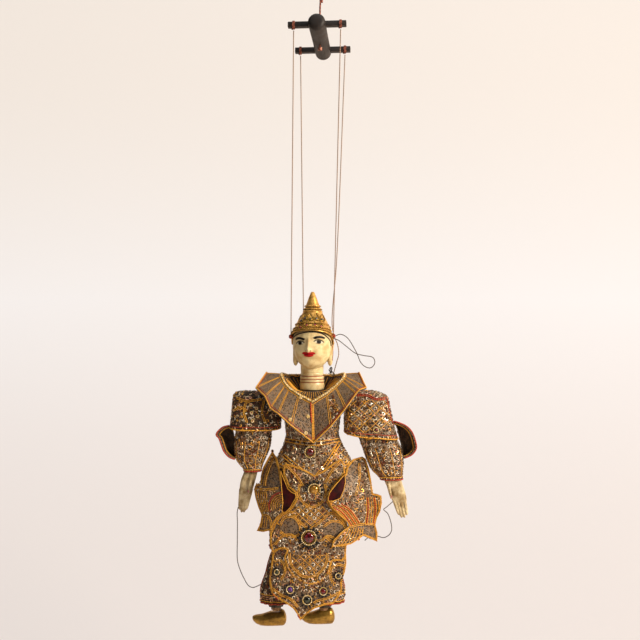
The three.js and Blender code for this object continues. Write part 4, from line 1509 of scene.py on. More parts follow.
@dataclass
class ClothPanel:
    """A padded panel cut to an outline of the front drawing and hung at a depth."""

    name: str
    body: str
    nodes: tuple[str, ...]
    outline: Line
    depth: Callable[[float, float], float]
    finish: Finish
    slot: str = "sequin_cloth"
    thickness: float = 2.4 * MM
    cell: float = 3.2 * MM
    quilted: Sequence[Line] = ()
    puff: float = 0.9 * MM

    def on(self, across: float, down: float) -> Vector:
        """Gives the point of the panel under a place of the drawing."""
        p = seen(across, down, -0.05)
        for _ in range(4):
            p = seen(across, down, self.depth(p.x, p.z))
        return p

    def build(self) -> tuple[Object, Skin]:
        """Cuts the outline, grids it, hangs it and puffs it between its seams.

        Returns:
            The panel and its skin.
        """
        bm, measure = new_mesh()
        corners = [self.on(*p) for p in smooth_outline(self.outline)]
        bm.faces.new([bm.verts.new((p.x, 0, p.z)) for p in corners])
        bm.normal_update()
        bmesh.ops.triangulate(bm, faces=bm.faces)
        for axis in (0, 2):
            low = min(v.co[axis] for v in bm.verts)
            high = max(v.co[axis] for v in bm.verts)
            for k in range(1, int((high - low) / self.cell) + 1):
                point, normal = Vector((0, 0, 0)), Vector((0, 0, 0))
                point[axis], normal[axis] = low + k * self.cell, 1
                bmesh.ops.bisect_plane(
                    bm, geom=[*bm.verts, *bm.edges, *bm.faces], dist=1e-6, plane_co=point, plane_no=normal
                )
        seams = kdtree.KDTree(sum(len(smooth(q, 1.0)) for q in self.seams()))
        for i, p in enumerate(p for q in self.seams() for p in smooth(q, 1.0)):
            spot = self.on(*p)
            seams.insert((spot.x, 0, spot.z), i)
        seams.balance()
        for v in bm.verts:
            _, _, off = seams.find((v.co.x, 0, v.co.z))
            rise = self.puff * (1 - math.exp(-((off / (3.5 * MM)) ** 2)))
            v.co.y = self.depth(v.co.x, v.co.z) - rise
        for f in bm.faces:
            f.smooth = True
            for loop in f.loops:
                loop[measure].uv = (loop.vert.co.x, loop.vert.co.z)
        outward(bm, lambda f: Vector((0, -1, 0)))
        skin = Skin(bm)
        made = to_object(bm, self.name, [self.finish, VELVET], self.slot)
        thicken(made, self.thickness)
        seat(made, self.body, *self.nodes)
        return made, skin

    def seams(self) -> list[Line]:
        """Gives the lines that press the padding down, the edge among them."""
        return [[*self.outline, self.outline[0]], *self.quilted]

    def edge(self, inset: float = 0.6) -> list[Vector]:
        """Gives the closed edge, drawn in a little from the outline.

        Args:
            inset: how far, on the drawing.

        Returns:
            The edge.
        """
        line = smooth_outline(self.outline)
        line.append(line[0])
        middle = sum(line, Vector((0, 0))) / len(line)
        shifted = beside(line, inset)
        if sum((p - middle).length for p in shifted) > sum((p - middle).length for p in line):
            shifted = beside(line, -inset)
        return shifted


def smooth_outline(outline: Line) -> list[Vector]:
    """Gives a closed outline with a point at about every unit and a half, its corners kept."""
    return straight([*outline, outline[0]], 1.5)[:-1]


# Setting


@dataclass
class Setting:
    """Camera, pale sweep and soft studio lights."""

    lens: float = 56.25
    floor_z: float = -1.235
    wall_y: float = 0.75
    top: str = "#f6ece2"
    middle: str = "#fbf6f3"
    bottom: str = "#efe5df"
    room: str = "#4b453f"
    glow: float = 0.86
    corner: float = 0.4
    lights: tuple[tuple[str, Triple, float, float, str], ...] = (
        ("key", (2.1, -1.25, 0.3), 92, 0.8, "#fff0de"),
        ("fill", (-1.9, -1.6, -0.3), 3, 1.4, "#fff6ea"),
        ("top", (0.1, -0.5, 1.3), 12, 1.4, "#ffffff"),
    )

    def camera(self) -> None:
        """Sets the view of the photograph."""
        data = bpy.data.cameras.new("camera")
        data.lens = self.lens
        data.sensor_width = 36
        made = bpy.data.objects.new("camera", data)
        made.location = EYE
        made.rotation_euler = (math.pi / 2, 0, 0)
        bpy.context.scene.collection.objects.link(made)
        bpy.context.scene.camera = made

    def sweep_finish(self) -> bpy.types.Material:
        """Gives the sweep's pale paper, open to a view from behind, with painted light in its tones: darker
        at the floor and the top, lightest between.

        Returns:
            The material.
        """
        made = bpy.data.materials.new("pale studio paper")
        made.use_nodes = True
        tree = made.node_tree
        shader = tree.nodes["Principled BSDF"]
        shader.inputs["Roughness"].default_value = 0.9
        shader.inputs["Base Color"].default_value = linear(self.bottom)
        height = add_node(tree, "ShaderNodeSeparateXYZ", {0: coords(tree)}).outputs["Z"]
        share = ranged(tree, height, (self.floor_z, 0.1), interpolation_type="SMOOTHSTEP")
        # Painted light: the paper's tone is darker at the floor and the top and lightest on the wall between.
        tone = tinted(tree, share, (0.0, self.bottom), (0.55, self.middle), (1.0, self.top))
        glow = add_node(tree, "ShaderNodeEmission", {0: tone}).outputs[0]
        path = add_node(tree, "ShaderNodeLightPath").outputs["Is Camera Ray"]
        lit = {0: reckoned(tree, "MULTIPLY", path, self.glow), 1: shader.outputs[0], 2: glow}
        paper = add_node(tree, "ShaderNodeMixShader", lit).outputs[0]
        back = add_node(tree, "ShaderNodeNewGeometry").outputs["Backfacing"]
        clear = add_node(tree, "ShaderNodeBsdfTransparent").outputs[0]
        out = add_node(tree, "ShaderNodeMixShader", {0: back, 1: paper, 2: clear}).outputs[0]
        tree.links.new(out, tree.nodes["Material Output"].inputs["Surface"])
        return made

    def build(self) -> None:
        bm, _ = new_mesh()
        y, z, corner = self.wall_y - self.corner, self.floor_z, self.corner
        profile = [(-3.0, z), (0.0, z), (y, z)]
        for k in range(1, 10):
            turn = math.radians(k * 10)
            profile.append((y + corner * math.sin(turn), z + corner - corner * math.cos(turn)))
        profile.append((self.wall_y, 1.6))

        def place(u: float, v: float) -> Vector:
            """Gives the sweep's point at two shares."""
            y, z = profile[round(v * (len(profile) - 1))]
            return Vector(((u - 0.5) * 6, y, z))

        mapped(bm, 4, len(profile) - 1, place, (6, 5))
        outward(bm, lambda f: Vector((0, -1, 1)))
        data = bpy.data.meshes.new("sweep")
        bm.to_mesh(data)
        bm.free()
        data.materials.append(self.sweep_finish())
        sweep_piece = bpy.data.objects.new("sweep", data)
        bpy.context.scene.collection.objects.link(sweep_piece)
        [self.light(*values) for values in self.lights]
        world = bpy.data.worlds.new("pale room")
        world.use_nodes = True
        tree = world.node_tree
        room = tree.nodes["Background"]
        path = add_node(tree, "ShaderNodeLightPath").outputs["Is Camera Ray"]
        tree.links.new(mixed(tree, path, linear(self.room), linear(self.top)), room.inputs["Color"])
        bpy.context.scene.world = world
        bpy.context.scene.view_settings.view_transform = "Standard"

    def light(self, name: str, place: Triple, power: float, size: float, colour: str) -> Object:
        """Adds a square area light that faces the figure.

        Args:
            name: the light's name.
            place: where it stands.
            power: watts.
            size: its side.
            colour: hex.

        Returns:
            The light.
        """
        data = bpy.data.lights.new(name, "AREA")
        data.energy = power
        data.size = size
        data.color = linear(colour)[:3]
        made = bpy.data.objects.new(name, data)
        made.location = place
        made.rotation_euler = (Vector(place) - Vector((0, 0, -0.65))).to_track_quat("Z", "Y").to_euler()
        bpy.context.scene.collection.objects.link(made)
        return made


# Control and cords

CONTROL = (
    Matrix.Translation((0, 0, HANDLE_Z))
    @ Matrix.Rotation(math.radians(-5.6), 4, "Z")
    @ Matrix.Rotation(math.radians(-9.1), 4, "X")
)


@dataclass
class Cord:
    """A free cord along points in millimetres."""

    name: str
    points: Sequence[Sequence[float]]
    diameter: float
    finish: Finish
    slot: str
    nodes: tuple[str, ...] = ()
    far_end: str = "object"
    lay: str = "hanging"
    stiffness: str = "limp"

    def line(self) -> list[Vector]:
        """Gives the cord's middle, in metres."""
        return [p * MM for p in smooth(self.points, 3.0)]

    def make(self) -> Object:
        """Returns:
            The object.
        """
        middle = self.line()
        bm, _ = new_mesh()
        sweep(bm, middle, self.diameter * MM / 2, 10, taper=False)
        made = to_object(bm, self.name, [self.finish], self.slot)
        length = sum((b - a).length for a, b in zip(middle, middle[1:]))
        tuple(middle[0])
        if self.nodes:
            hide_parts(*self.nodes)
        log.info("%s: %.0f mm", self.name, length / MM)
        return made

    def ridden(self, body: str) -> Object:
        """Makes the cord to ride with one body."""
        made = self.make()
        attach(made, body)
        return made

    def blended(self, a: str, b: str, start: float, end: float) -> Object:
        """Makes the cord and bakes its place into its mesh."""
        made = self.make()
        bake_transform(made)
        return made


@dataclass
class Control:
    """The hand control: a turned handle with two square bars through it."""

    length: float = 130
    radius: float = 14.5
    bar_length: float = 97
    bar_section: float = 9
    bar_offset: float = 50
    knot_offset: float = 39

    def build(self) -> None:
        """Builds the handle, the bars, their knots and the hanging cord."""
        half = self.length / 2
        profile = [
            (0, -half), (0.55, -half), (0.72, -half + 0.6), (0.9, -half + 2.4), (0.98, -half + 5),
            (1, -half + 9), (0.985, -half * 0.6), (0.97, -half * 0.3), (0.95, half * 0.2),
            (0.955, half * 0.5), (0.97, half - 8), (0.95, half - 4), (0.86, half - 1.4),
            (0.66, half - 0.2), (0, half),
        ]
        bm, _ = new_mesh()
        lying = CONTROL @ Matrix.Rotation(-math.pi / 2, 4, "X")
        turned(bm, [(r * self.radius, z) for r, z in profile], 56, lying)
        handle = to_object(bm, "handle", [BLACK_WOOD], "black_wood", 40)
        seat(handle, "control", "control_handle")
        for place, y in (("front", -self.bar_offset), ("rear", self.bar_offset)):
            self.bar(place, y)
            for side in Side:
                self.knot(f"knot_{place}_{side.word}", (side.value * self.knot_offset, y, 0))
        self.hanging_cord()

    def bar(self, place: str, y: float) -> None:
        """Builds a square bar with rounded edges.

        Args:
            place: front or rear.
            y: its place along the handle, in millimetres.
        """
        bm, _ = new_mesh()
        size = Matrix.Diagonal((self.bar_length, self.bar_section, self.bar_section, 1))
        bmesh.ops.create_cube(bm, size=MM, matrix=size, calc_uvs=False)
        bmesh.ops.bevel(
            bm, geom=bm.edges[:], offset=0.9 * MM, affect="EDGES", segments=3, profile=0.5, material=-1
        )
        bmesh.ops.transform(bm, matrix=CONTROL @ Matrix.Translation((0, y * MM, 0)), verts=bm.verts)
        finish = replace(BLACK_WOOD, name="black-stained wood, cross grain", axis=0)
        made = to_object(bm, f"bar_{place}", [finish], "black_wood", 40)
        seat(made, "control", f"{place}_bar")

    def knot(self, node: str, centre: Sequence[float]) -> None:
        """Winds a string four times round a bar and ties it below.

        Args:
            node: the knot that it stands for.
            centre: its place on the control, in millimetres.
        """
        turns, steps = 4, 28
        half = self.bar_section / 2 + 0.75
        section = Oval(0, 0, half + 0.5, half + 0.5, 0, 3.6)
        winding = []
        for k in range(turns * steps + 1):
            p = section.at(math.tau * k / steps - math.pi / 2)
            shift = (k / (turns * steps) - 0.5) * 3.8
            winding.append(CONTROL @ (Vector((shift * MM, p.x, p.y)) + Vector(centre) * MM))
        bm, _ = new_mesh()
        sweep(bm, winding, 0.75 * MM, 6)
        low = winding[0] + Vector((0, 0, -0.4 * MM))
        bmesh.ops.create_icosphere(bm, subdivisions=3, radius=1.9 * MM, matrix=Matrix.Translation(low))
        made = to_object(bm, node.replace("knot", "winding"), [RED_COTTON], "red_cotton", 60)
        seat(made, "control", node)

    def hanging_cord(self) -> None:
        """Leads the hanging cord up through the handle into its loop, over a knot below."""
        loop, centre, aside = 7.5, HANDLE_Z / MM, 3.5
        top = centre - self.radius - 0.8
        flat = [
            (0, top), (0, centre), (0, centre / 2), (0, -3.4 * loop), (-loop, -1.6 * loop),
            (-0.8 * loop, -0.4 * loop), (0, 0), (0.8 * loop, -0.4 * loop), (loop, -1.6 * loop),
            (aside, -3.3 * loop), (aside, -4.6 * loop),
        ]
        points = [(x, 0, z) for x, z in flat]
        cord = Cord("hanging_string", points, 3, RED_COTTON, "red_cotton", ("hanging_cord",), "knot", "taut")
        cord.ridden("control")
        bm, _ = new_mesh()
        knot = Matrix.Translation((0, 0, (top - 3.9) * MM))
        for tilt in (-35, 35):
            ring = knot @ Matrix.Rotation(math.radians(tilt), 4, "Y")
            sweep(bm, hoop(ring, 2.7 * MM, 20), 1.5 * MM, 8, taper=False)
        bmesh.ops.create_icosphere(bm, subdivisions=3, radius=2.6 * MM, matrix=knot)
        finish = replace(RED_COTTON, name="pink cotton cord", strand="#c98a72")
        made = to_object(bm, "handle_knot", [finish], "red_cotton", 60)
        seat(made, "control", "hanging_knot")


@dataclass
class Strings:
    """The four strings: two to the temples and two to the shoulders."""

    diameter: float = 1.6
    bend_top: float = -170 * MM
    neck_top: float = NECK_Z + 200 * MM
    neck_bottom: float = NECK_Z + 130 * MM

    ends: tuple[Triple, ...] = ((-49.1, -10, 69.3), (22.6, -12, 70.3))
    backs: tuple[tuple[Triple, ...], ...] = (
        ((-28.5, 40, 90), (-27, 33.5, 25), (-27, 32, 0.9)),
        ((29, 30, 200), (21, 20, 84), (25.5, 12, 64), (30, 9.5, 52), (32, 10, 36), (27.5, 16, 18),
         (23, 25.6, 0.6)),
    )

    def top(self, y: float, side: Side) -> Vector:
        """Gives where a string leaves its knot under a bar, in millimetres."""
        return CONTROL @ (Vector((side.value * 39, y, 0)) * MM) / MM - Vector((0, 0, 9.2))

    def build(self) -> None:
        """Hangs the strings, the temple strings in three lengths."""
        for side, (x, y, up) in zip(Side, self.ends):
            self.temple_string(side, self.top(-50, side), Vector((x, y, NECK + up)))
        for side, points in zip(Side, self.backs):
            path = [self.top(50, side), *[(x, y, NECK + up) for x, y, up in points]]
            node = f"shoulder_string_{side.word}"
            cord = Cord(f"back_string_{side.word}", path, self.diameter, COTTON, "cotton", (node,))
            cord.blended("control", "trunk", HANDLE_Z - 16 * MM, self.bend_top)

    def temple_string(self, side: Side, top: Vector, end: Vector) -> None:
        """Hangs a temple string in three lengths, one for each joint it spans.

        Args:
            side: its side.
            top: its upper end, in millimetres.
            end: its lower end.
        """
        word = side.word
        cuts = [(z / MM - top.z) / (end.z - top.z) for z in (self.neck_top, self.neck_bottom)]
        first, second = (top.lerp(end, share) for share in cuts)
        spans = [
            ("control", "trunk", top, first, HANDLE_Z - 1 * MM, self.bend_top),
            ("trunk", "neck", first, second, self.neck_top, self.neck_bottom),
            ("neck", "head", second, end, self.neck_bottom, end.z * MM),
        ]
        for k, (a, b, start, stop, high, low) in enumerate(spans):
            nodes = (f"temple_string_{word}",) if k == 0 else ()
            name = f"brow_string_{word}_{k}"
            cord = Cord(name, [start, stop], self.diameter, COTTON, "cotton", nodes, lay="taut")
            cord.blended(a, b, high, low)


# Head


def bump(off: float, width: float) -> float:
    """Gives a bell curve of height 1."""
    return math.exp(-((off / width) ** 2))


HEAD = Matrix.Translation(HEAD_CENTRE) @ Matrix.Rotation(HEAD_TURN, 4, "Z") @ Matrix.Scale(MM, 4)


@dataclass
class Head:
    """The carved head: an egg with a calm doll's face and long ear lobes, in head millimetres."""

    half_width: float = 33.4
    half_depth: float = 36
    above: float = 46
    below: float = 46
    ear: tuple[tuple[Triple, Triple], ...] = (
        ((32.0, 5, -8), (3.2, 7, 12)),
        ((33.0, 8.2, -5), (2.4, 3.4, 9)),
        ((31.4, 3.4, -19), (3.4, 6.4, 11)),
        ((29.8, 1.4, -28.5), (4.6, 6.4, 11.5)),
    )
    throat: tuple[Pair, ...] = ((0, -51.8), (19, -51.8), (19.4, -50), (19.6, -26), (0, -24))
    # Where a black cord stands for the shadow under the crown's brim, on the front drawing.
    brim_shadow_line: tuple[Pair, ...] = (
        (292.6, 339), (296.3, 335.2), (304.3, 332.5), (311.7, 331.9), (320.5, 333), (326.3, 336.5),
        (330, 341), (330.8, 346),
    )
    temple: tuple[Pair, ...] = ((332.3, 345), (332.9, 352), (332.2, 361))

    def relief(self, across: float, up: float) -> float:
        """Gives how far the carving stands out of the egg.

        Args:
            across: place from the middle.
            up: height over the eyes.

        Returns:
            Millimetres.
        """
        off = abs(across)
        nose = 7.2 * bump(across, 3.2) * bump(up + 11, 6) + 2.6 * bump(across, 2.5) * bump(up, 9)
        wings = 2.4 * bump(off - 4.3, 2.2) * bump(up + 12.6, 2.6)
        nostril = -1.4 * bump(off - 2.4, 1) * bump(up + 15.2, 1.2)
        brow = 1.5 * bump(off - 13, 9) * bump(up - 9, 3)
        socket = -2.6 * bump(off - 15, 8) * bump(up - 1, 5)
        eyeball = 2.1 * bump(off - 15.3, 5.8) * bump(up - 0.3, 2.9)
        cheek = 1.9 * bump(off - 18, 8) * bump(up + 15, 8)
        lips = 2.5 * bump(across, 7.5) * (bump(up + 17.2, 1.5) + bump(up + 21.4, 1.8))
        parting = -1.2 * bump(across, 8.5) * bump(up + 19.2, 0.7)
        groove = -0.7 * bump(across, 1.3) * bump(up + 14.8, 1.8)
        chin = 3.2 * bump(across, 8) * bump(up + 36, 7) - 1.3 * bump(across, 6) * bump(up + 26.3, 2.2)
        return sum((nose, wings, nostril, brow, socket, eyeball, cheek, lips, parting, groove, chin))

    def surface(self, way: Vector) -> Vector:
        """Gives the point of the egg that a direction of the unit ball stands for.

        Args:
            way: the direction.

        Returns:
            The point, in head millimetres.
        """
        span = self.above if way.z > 0 else self.below
        z = span * way.z
        size = max(1 - min(abs(z) / span, 1) ** 2.4, 0) ** 0.55
        flat = math.hypot(way.x, way.y) or 1
        c, s = way.x / flat, way.y / flat
        x = self.half_width * size * c
        forward = -4 * (z / self.below) ** 2 if z < 0 else 0
        facing = max(-s, 0)
        raised = self.relief(x, z) * min(1, facing * 1.6)
        return Vector((x, self.half_depth * size * s + forward - raised, z))

    def build(self) -> None:
        """Carves the egg, the ears and the throat into one body and paints it, with a black cord along the
        crown's brim as painted shadow.
        """
        bm, _ = new_mesh()
        bmesh.ops.create_uvsphere(bm, u_segments=150, v_segments=110, radius=1)
        for v in bm.verts:
            v.co = HEAD @ self.surface(v.co)
        for side in (-1, 1):
            for (x, y, z), radii in self.ear:
                place = HEAD @ Matrix.Translation((side * x, y, z)) @ Matrix.Diagonal((*radii, 1))
                bmesh.ops.create_uvsphere(bm, u_segments=24, v_segments=16, radius=1, matrix=place)
        turned(bm, self.throat, 40, Matrix.Translation(NECK_CENTRE + Vector((0, 0, EYES_Z - NECK_Z))))
        bm = remeshed(bm, 0.75, 2)
        # Painted shadow: a black cord along the brim's edge stands for the shadow under the crown.
        trim = Trim("brim_shadow_cord", Skin(bm), 7)
        trim.lines([self.brim_shadow_line], radius=0.9 * MM, sewn=Sewn.FRINGE)
        trim.lines([self.temple], radius=0.5 * MM, sewn=Sewn.RED_CORD)
        trim.piece("head", "pale_wood")
        seat(to_object(bm, "face", [FACE_PAINT], "pale_wood"), "head", "head")


@dataclass
class Crown:
    """The gilded crown: a ringed spire over a bell set with stones, its brim arched over the brows."""

    height: float = 90
    top: float = 86
    arch: float = 25
    profile: tuple[Pair, ...] = (
        (0.0, 0.0), (0.06, 0.004), (0.1, 0.02), (0.13, 0.05), (0.2, 0.11), (0.27, 0.18), (0.33, 0.24),
        (0.345, 0.255), (0.4, 0.262), (0.415, 0.275), (0.4, 0.288), (0.36, 0.3), (0.42, 0.312),
        (0.46, 0.322), (0.47, 0.338), (0.44, 0.35), (0.49, 0.362), (0.515, 0.375), (0.5, 0.39),
        (0.53, 0.42), (0.6, 0.46), (0.68, 0.52), (0.75, 0.57), (0.81, 0.62), (0.85, 0.65),
        (0.885, 0.665), (0.88, 0.68), (0.86, 0.69), (0.92, 0.73), (0.97, 0.77), (1.005, 0.785),
        (1.0, 0.8), (0.98, 0.81), (1.03, 0.85), (1.06, 0.87), (1.08, 0.885), (1.06, 0.9), (1.08, 0.93),
        (1.115, 0.95), (1.115, 0.985), (1.09, 1.0), (1.04, 1.0), (0.99, 0.94),
    )
    stones: tuple[Pair, ...] = (
        (301.4, 321), (305.3, 318.4), (310.4, 319.2), (316.1, 318.7), (322, 319.8),
    )
    pink: tuple[Pair, ...] = ((300.4, 327.0), (306.7, 325.4), (314.8, 325.2), (320.9, 326.6))

    bead_rows: tuple[Triple, ...] = (
        (9, 0.8, 26), (14, 0.85, 30), (25, 1.0, 52), (30, 1.05, 60), (35, 1.1, 64),
    )

    def place(self, u: float, v: float) -> Vector:
        """Gives the crown's point at a share of the way round and a step of the profile.

        Args:
            u: the share round.
            v: the share of the profile.

        Returns:
            The point.
        """
        share, down = self.profile[round(v * (len(self.profile) - 1))]
        turn = math.tau * u
        front = max(-math.sin(turn), 0) ** 0.45
        z = self.top - self.height * down + self.arch * front * down**3
        depth = 33 + 3 * down
        return HEAD @ Vector((33 * share * math.cos(turn), depth * share * math.sin(turn), z))

    def build(self) -> None:
        """Builds the crown and sets its stones, leaves and bead rows."""
        bm, _ = new_mesh()
        mapped(bm, 96, len(self.profile) - 1, self.place, (0.2, 0.12))
        bmesh.ops.recalc_face_normals(bm, faces=bm.faces)
        outward(bm, lambda f: f.calc_center_median() - (HEAD @ Vector((0, 0, 20))))
        skin = Skin(bm)
        seat(to_object(bm, "gilt_crown", [GILT], "gilt", 50), "head", "crown")
        trim = Trim("crown_settings", skin, 11)
        for x, y in self.stones:
            self.leaf(trim, x, y, 2.7, 5.6)
            self.setting(trim, skin.front(x, y), 3.7, Sewn.JET)
        for x, y in self.pink:
            self.setting(trim, skin.front(x, y), 3.0, Sewn.PINK)
            self.leaf(trim, x, y, 2.3, 3.6)
        for turn in range(8):
            direction = spoke(10 + turn * 160 / 7, 360, 33, 24)
            spot = skin.near(HEAD @ direction)
            self.setting(trim, spot, 2.4, Sewn.AMBER if turn % 2 else Sewn.GREEN)
        for step, size, count in self.bead_rows:
            v = step / (len(self.profile) - 1)
            for k in range(count):
                trim.boss(skin.near(self.place(k / count, v)), size * MM)
        trim.piece("head", "gilt")

    def setting(self, trim: Trim, spot: Spot | None, radius: float, glass: Sewn) -> None:
        """Sets one stone in a gilt collar.

        Args:
            trim: what it joins.
            spot: its place, or None.
            radius: the collar's, in millimetres.
            glass: the stone's finish.
        """
        if not spot:
            return
        stand = standing(spot, 1.0)
        wall = [(0, -0.5), (radius, -0.5), (radius, 0.9), (radius * 0.7, 1.1), (0, 0.8)]
        turned(trim.bm, wall, 14, stand, Sewn.BEZEL.index)
        dome = [(0, 0.7), (radius * 0.68, 0.8), (radius * 0.45, 1.8), (0, 2.1)]
        turned(trim.bm, dome, 12, stand, glass.index)

    def leaf(self, trim: Trim, x: float, y: float, half: float, rise: float) -> None:
        """Carves a leaf's raised edge round a stone."""
        shares = ((-0.6, 0.4), (-1, 0), (-0.6, -0.5), (0, -1), (0.6, -0.5), (1, 0), (0.6, 0.4))
        drawn = [(x + half * across, y + rise * down) for across, down in shares]
        trim.lines([drawn], radius=0.75 * MM, sewn=Sewn.BEZEL)


@dataclass
class HeadTrim:
    """What hangs from the head: temple knots, a beaded ear tassel and a loose loop of string."""

    knots: tuple[Triple, ...] = ((-49.1, -10, 66), (22.6, -12, 67))
    lobe: Triple = (18.1, -3.9, NECK + 14.6)
    droop: Triple = (0.1, 0, -1)
    threads: int = 9
    loop: tuple[Triple, ...] = (
        (26, -12, 67), (34, -16.5, 70), (45, -20, 65), (61, -20, 40), (69, -20, 22), (78, -20, 14.5),
        (86, -21, 14), (92, -22, 22), (89, -23, 31), (73, -23, 34.5), (60, -23.5, 38), (44, -23.5, 50),
        (31, -19, 60), (23.2, -12.5, 62.6),
    )

    def build(self) -> None:
        """Builds the knots, the tassel and the loop."""
        for side, (x, y, up) in zip(Side, self.knots):
            bm, _ = new_mesh()
            at = Matrix.Translation(Vector((x, y, NECK + up)) * MM)
            for k, tilt in enumerate((-28, 0, 28)):
                ring = at @ Matrix.Rotation(math.radians(tilt), 4, "X")
                sweep(bm, hoop(ring, 2.4 * MM, 18, (k - 1) * 1.44 * MM), 1.3 * MM, 6, taper=False)
            made = to_object(bm, f"brow_knot_{side.word}", [RED_CORD], "red_cotton", 60)
            seat(made, "head", f"temple_knot_{side.word}")
        self.tassel()
        points = [(x, y, NECK + up) for x, y, up in self.loop]
        cord = Cord("loose_loop", points, 1.4, DARK_COTTON, "dark_cotton", ("string_loop",), lay="loose")
        cord.ridden("head")

    def tassel(self) -> None:
        """Hangs a tangle of black threads and beads from the ear lobe."""
        bm, _ = new_mesh()
        draw = random.Random(5)
        for k in range(self.threads):
            way = spoke(k, self.threads)
            length, swing = draw.uniform(9, 17), draw.uniform(0.8, 2.0)
            thread = []
            for share in (i / 8 for i in range(9)):
                out = way * (0.4 + 4.2 * share + swing * math.sin(share * 9 + k))
                thread.append(Vector(self.lobe) + out + Vector(self.droop) * length * share)
            sweep(bm, [p * MM for p in smooth(thread, 1.0)], 0.42 * MM, 6)
            bead = Matrix.Translation(thread[draw.choice((5, 6, 8))] * MM)
            bmesh.ops.create_icosphere(bm, subdivisions=2, radius=1.0 * MM, matrix=bead)
        for f in bm.faces:
            f.smooth = True
        seat(to_object(bm, "ear_beads", [JET], "dark_cotton", 60), "head", "ear_tassel")


@dataclass
class Neck:
    """The ringed neck that the head turns on: a smooth column over three low rings."""

    bottom: float = -24
    spigot: float = 11
    radii: tuple[float, ...] = (19.4, 20.4, 20.8, 21.2)

    def build(self) -> None:
        """Turns the neck, its grooves where the painted lines lie."""
        profile = [(0, self.bottom - 18), (self.spigot, self.bottom - 18), (self.spigot, self.bottom)]
        levels = (self.bottom, *reversed(NECK_GROOVES), 5.6)
        for radius, low, high in zip(reversed(self.radii), levels, levels[1:]):
            for share in (i / 6 for i in range(7)):
                swell = 0.9 * math.sin(math.pi * share) ** 0.6
                profile.append((radius - 0.9 + swell, low + (high - low) * share))
        profile += [(17.4, 6.4), (13, 7.6), (0, 8.2)]
        bm, _ = new_mesh()
        turned(bm, profile, 64, Matrix.Translation(NECK_CENTRE))
        seat(to_object(bm, "ringed_neck", [NECK_PAINT], "pale_wood", 50), "neck", "neck")


# Trunk and its dress


def below_neck(dz: float, a: float, b: float, x: float = -13) -> Oval:
    """Gives a level of the bodice or of the skirt."""
    return Oval(x, NECK + dz, a, b, 0, 2.3)


@dataclass
class Jacket:
    """The bodice with its peplum: padded cloth, belted with two rows of piping and a medallion."""

    rows: tuple[Oval, ...] = (
        below_neck(-28.5, 27.5, 18.4), below_neck(-38, 46, 24), below_neck(-57, 49, 30),
        below_neck(-77, 47, 31.5), below_neck(-100, 44.8, 28.8), below_neck(-117, 50, 32, -12),
        below_neck(-136, 60, 37, -11), below_neck(-154, 68, 42, -10.5),
    )
    seams: tuple[float, ...] = (0.06, 0.13, 0.2, 0.3, 0.37, 0.44)
    right_net: tuple[Pair, ...] = ((333, 452), (352, 446), (359, 458), (346, 470), (330, 476), (322, 474))
    left_net: tuple[Pair, ...] = ((277, 452), (285, 460), (298, 470), (305, 476), (290, 474), (276, 464))
    crossed: tuple[tuple[Pair, ...], ...] = (
        ((283, 455), (290, 461), (300, 469), (309, 475.5), (314, 478)),
        ((314, 478), (322, 470), (330, 459), (338, 445)),
        ((344, 430), (339, 443), (331, 453)),
    )
    between: tuple[tuple[Pair, ...], ...] = (
        ((283, 455), (300, 469), (314, 478)), ((314, 478), (330, 459), (338, 445)),
    )

    def build(self) -> None:
        """Builds the cloth and sews on its trim."""
        tube = ClothTube(
            "bodice", "trunk", ("jacket",), self.rows, NET_CLOTH, columns=96, levels=44, thickness=2 * MM,
            lift=lambda turn: -21 * max(-math.sin(turn), 0) ** 6,
        )
        made, skin = tube.build()
        trim = Trim("bodice_trim", skin, 21)
        for cords, sequins in (((0.62, 0.665), 0.643), ((0.975, 0.94), 0.957)):
            for v in cords:
                trim.cord(tube.ring(skin, v))
            trim.row(tube.ring(skin, sequins), 3.2 * MM)
        for u in self.seams:
            trim.cord(tube.seam(skin, u, 0.7, 0.93))
            trim.cord(tube.seam(skin, u, 0.2, 0.6))
        trim.lines(self.crossed, (-1.4, 1.4))
        trim.rows(self.between)
        trim.net(self.right_net, 6.2, 40)
        trim.net(self.left_net, 6.2, 40)
        trim.strew()
        trim.piece("trunk", "sequin_cloth")


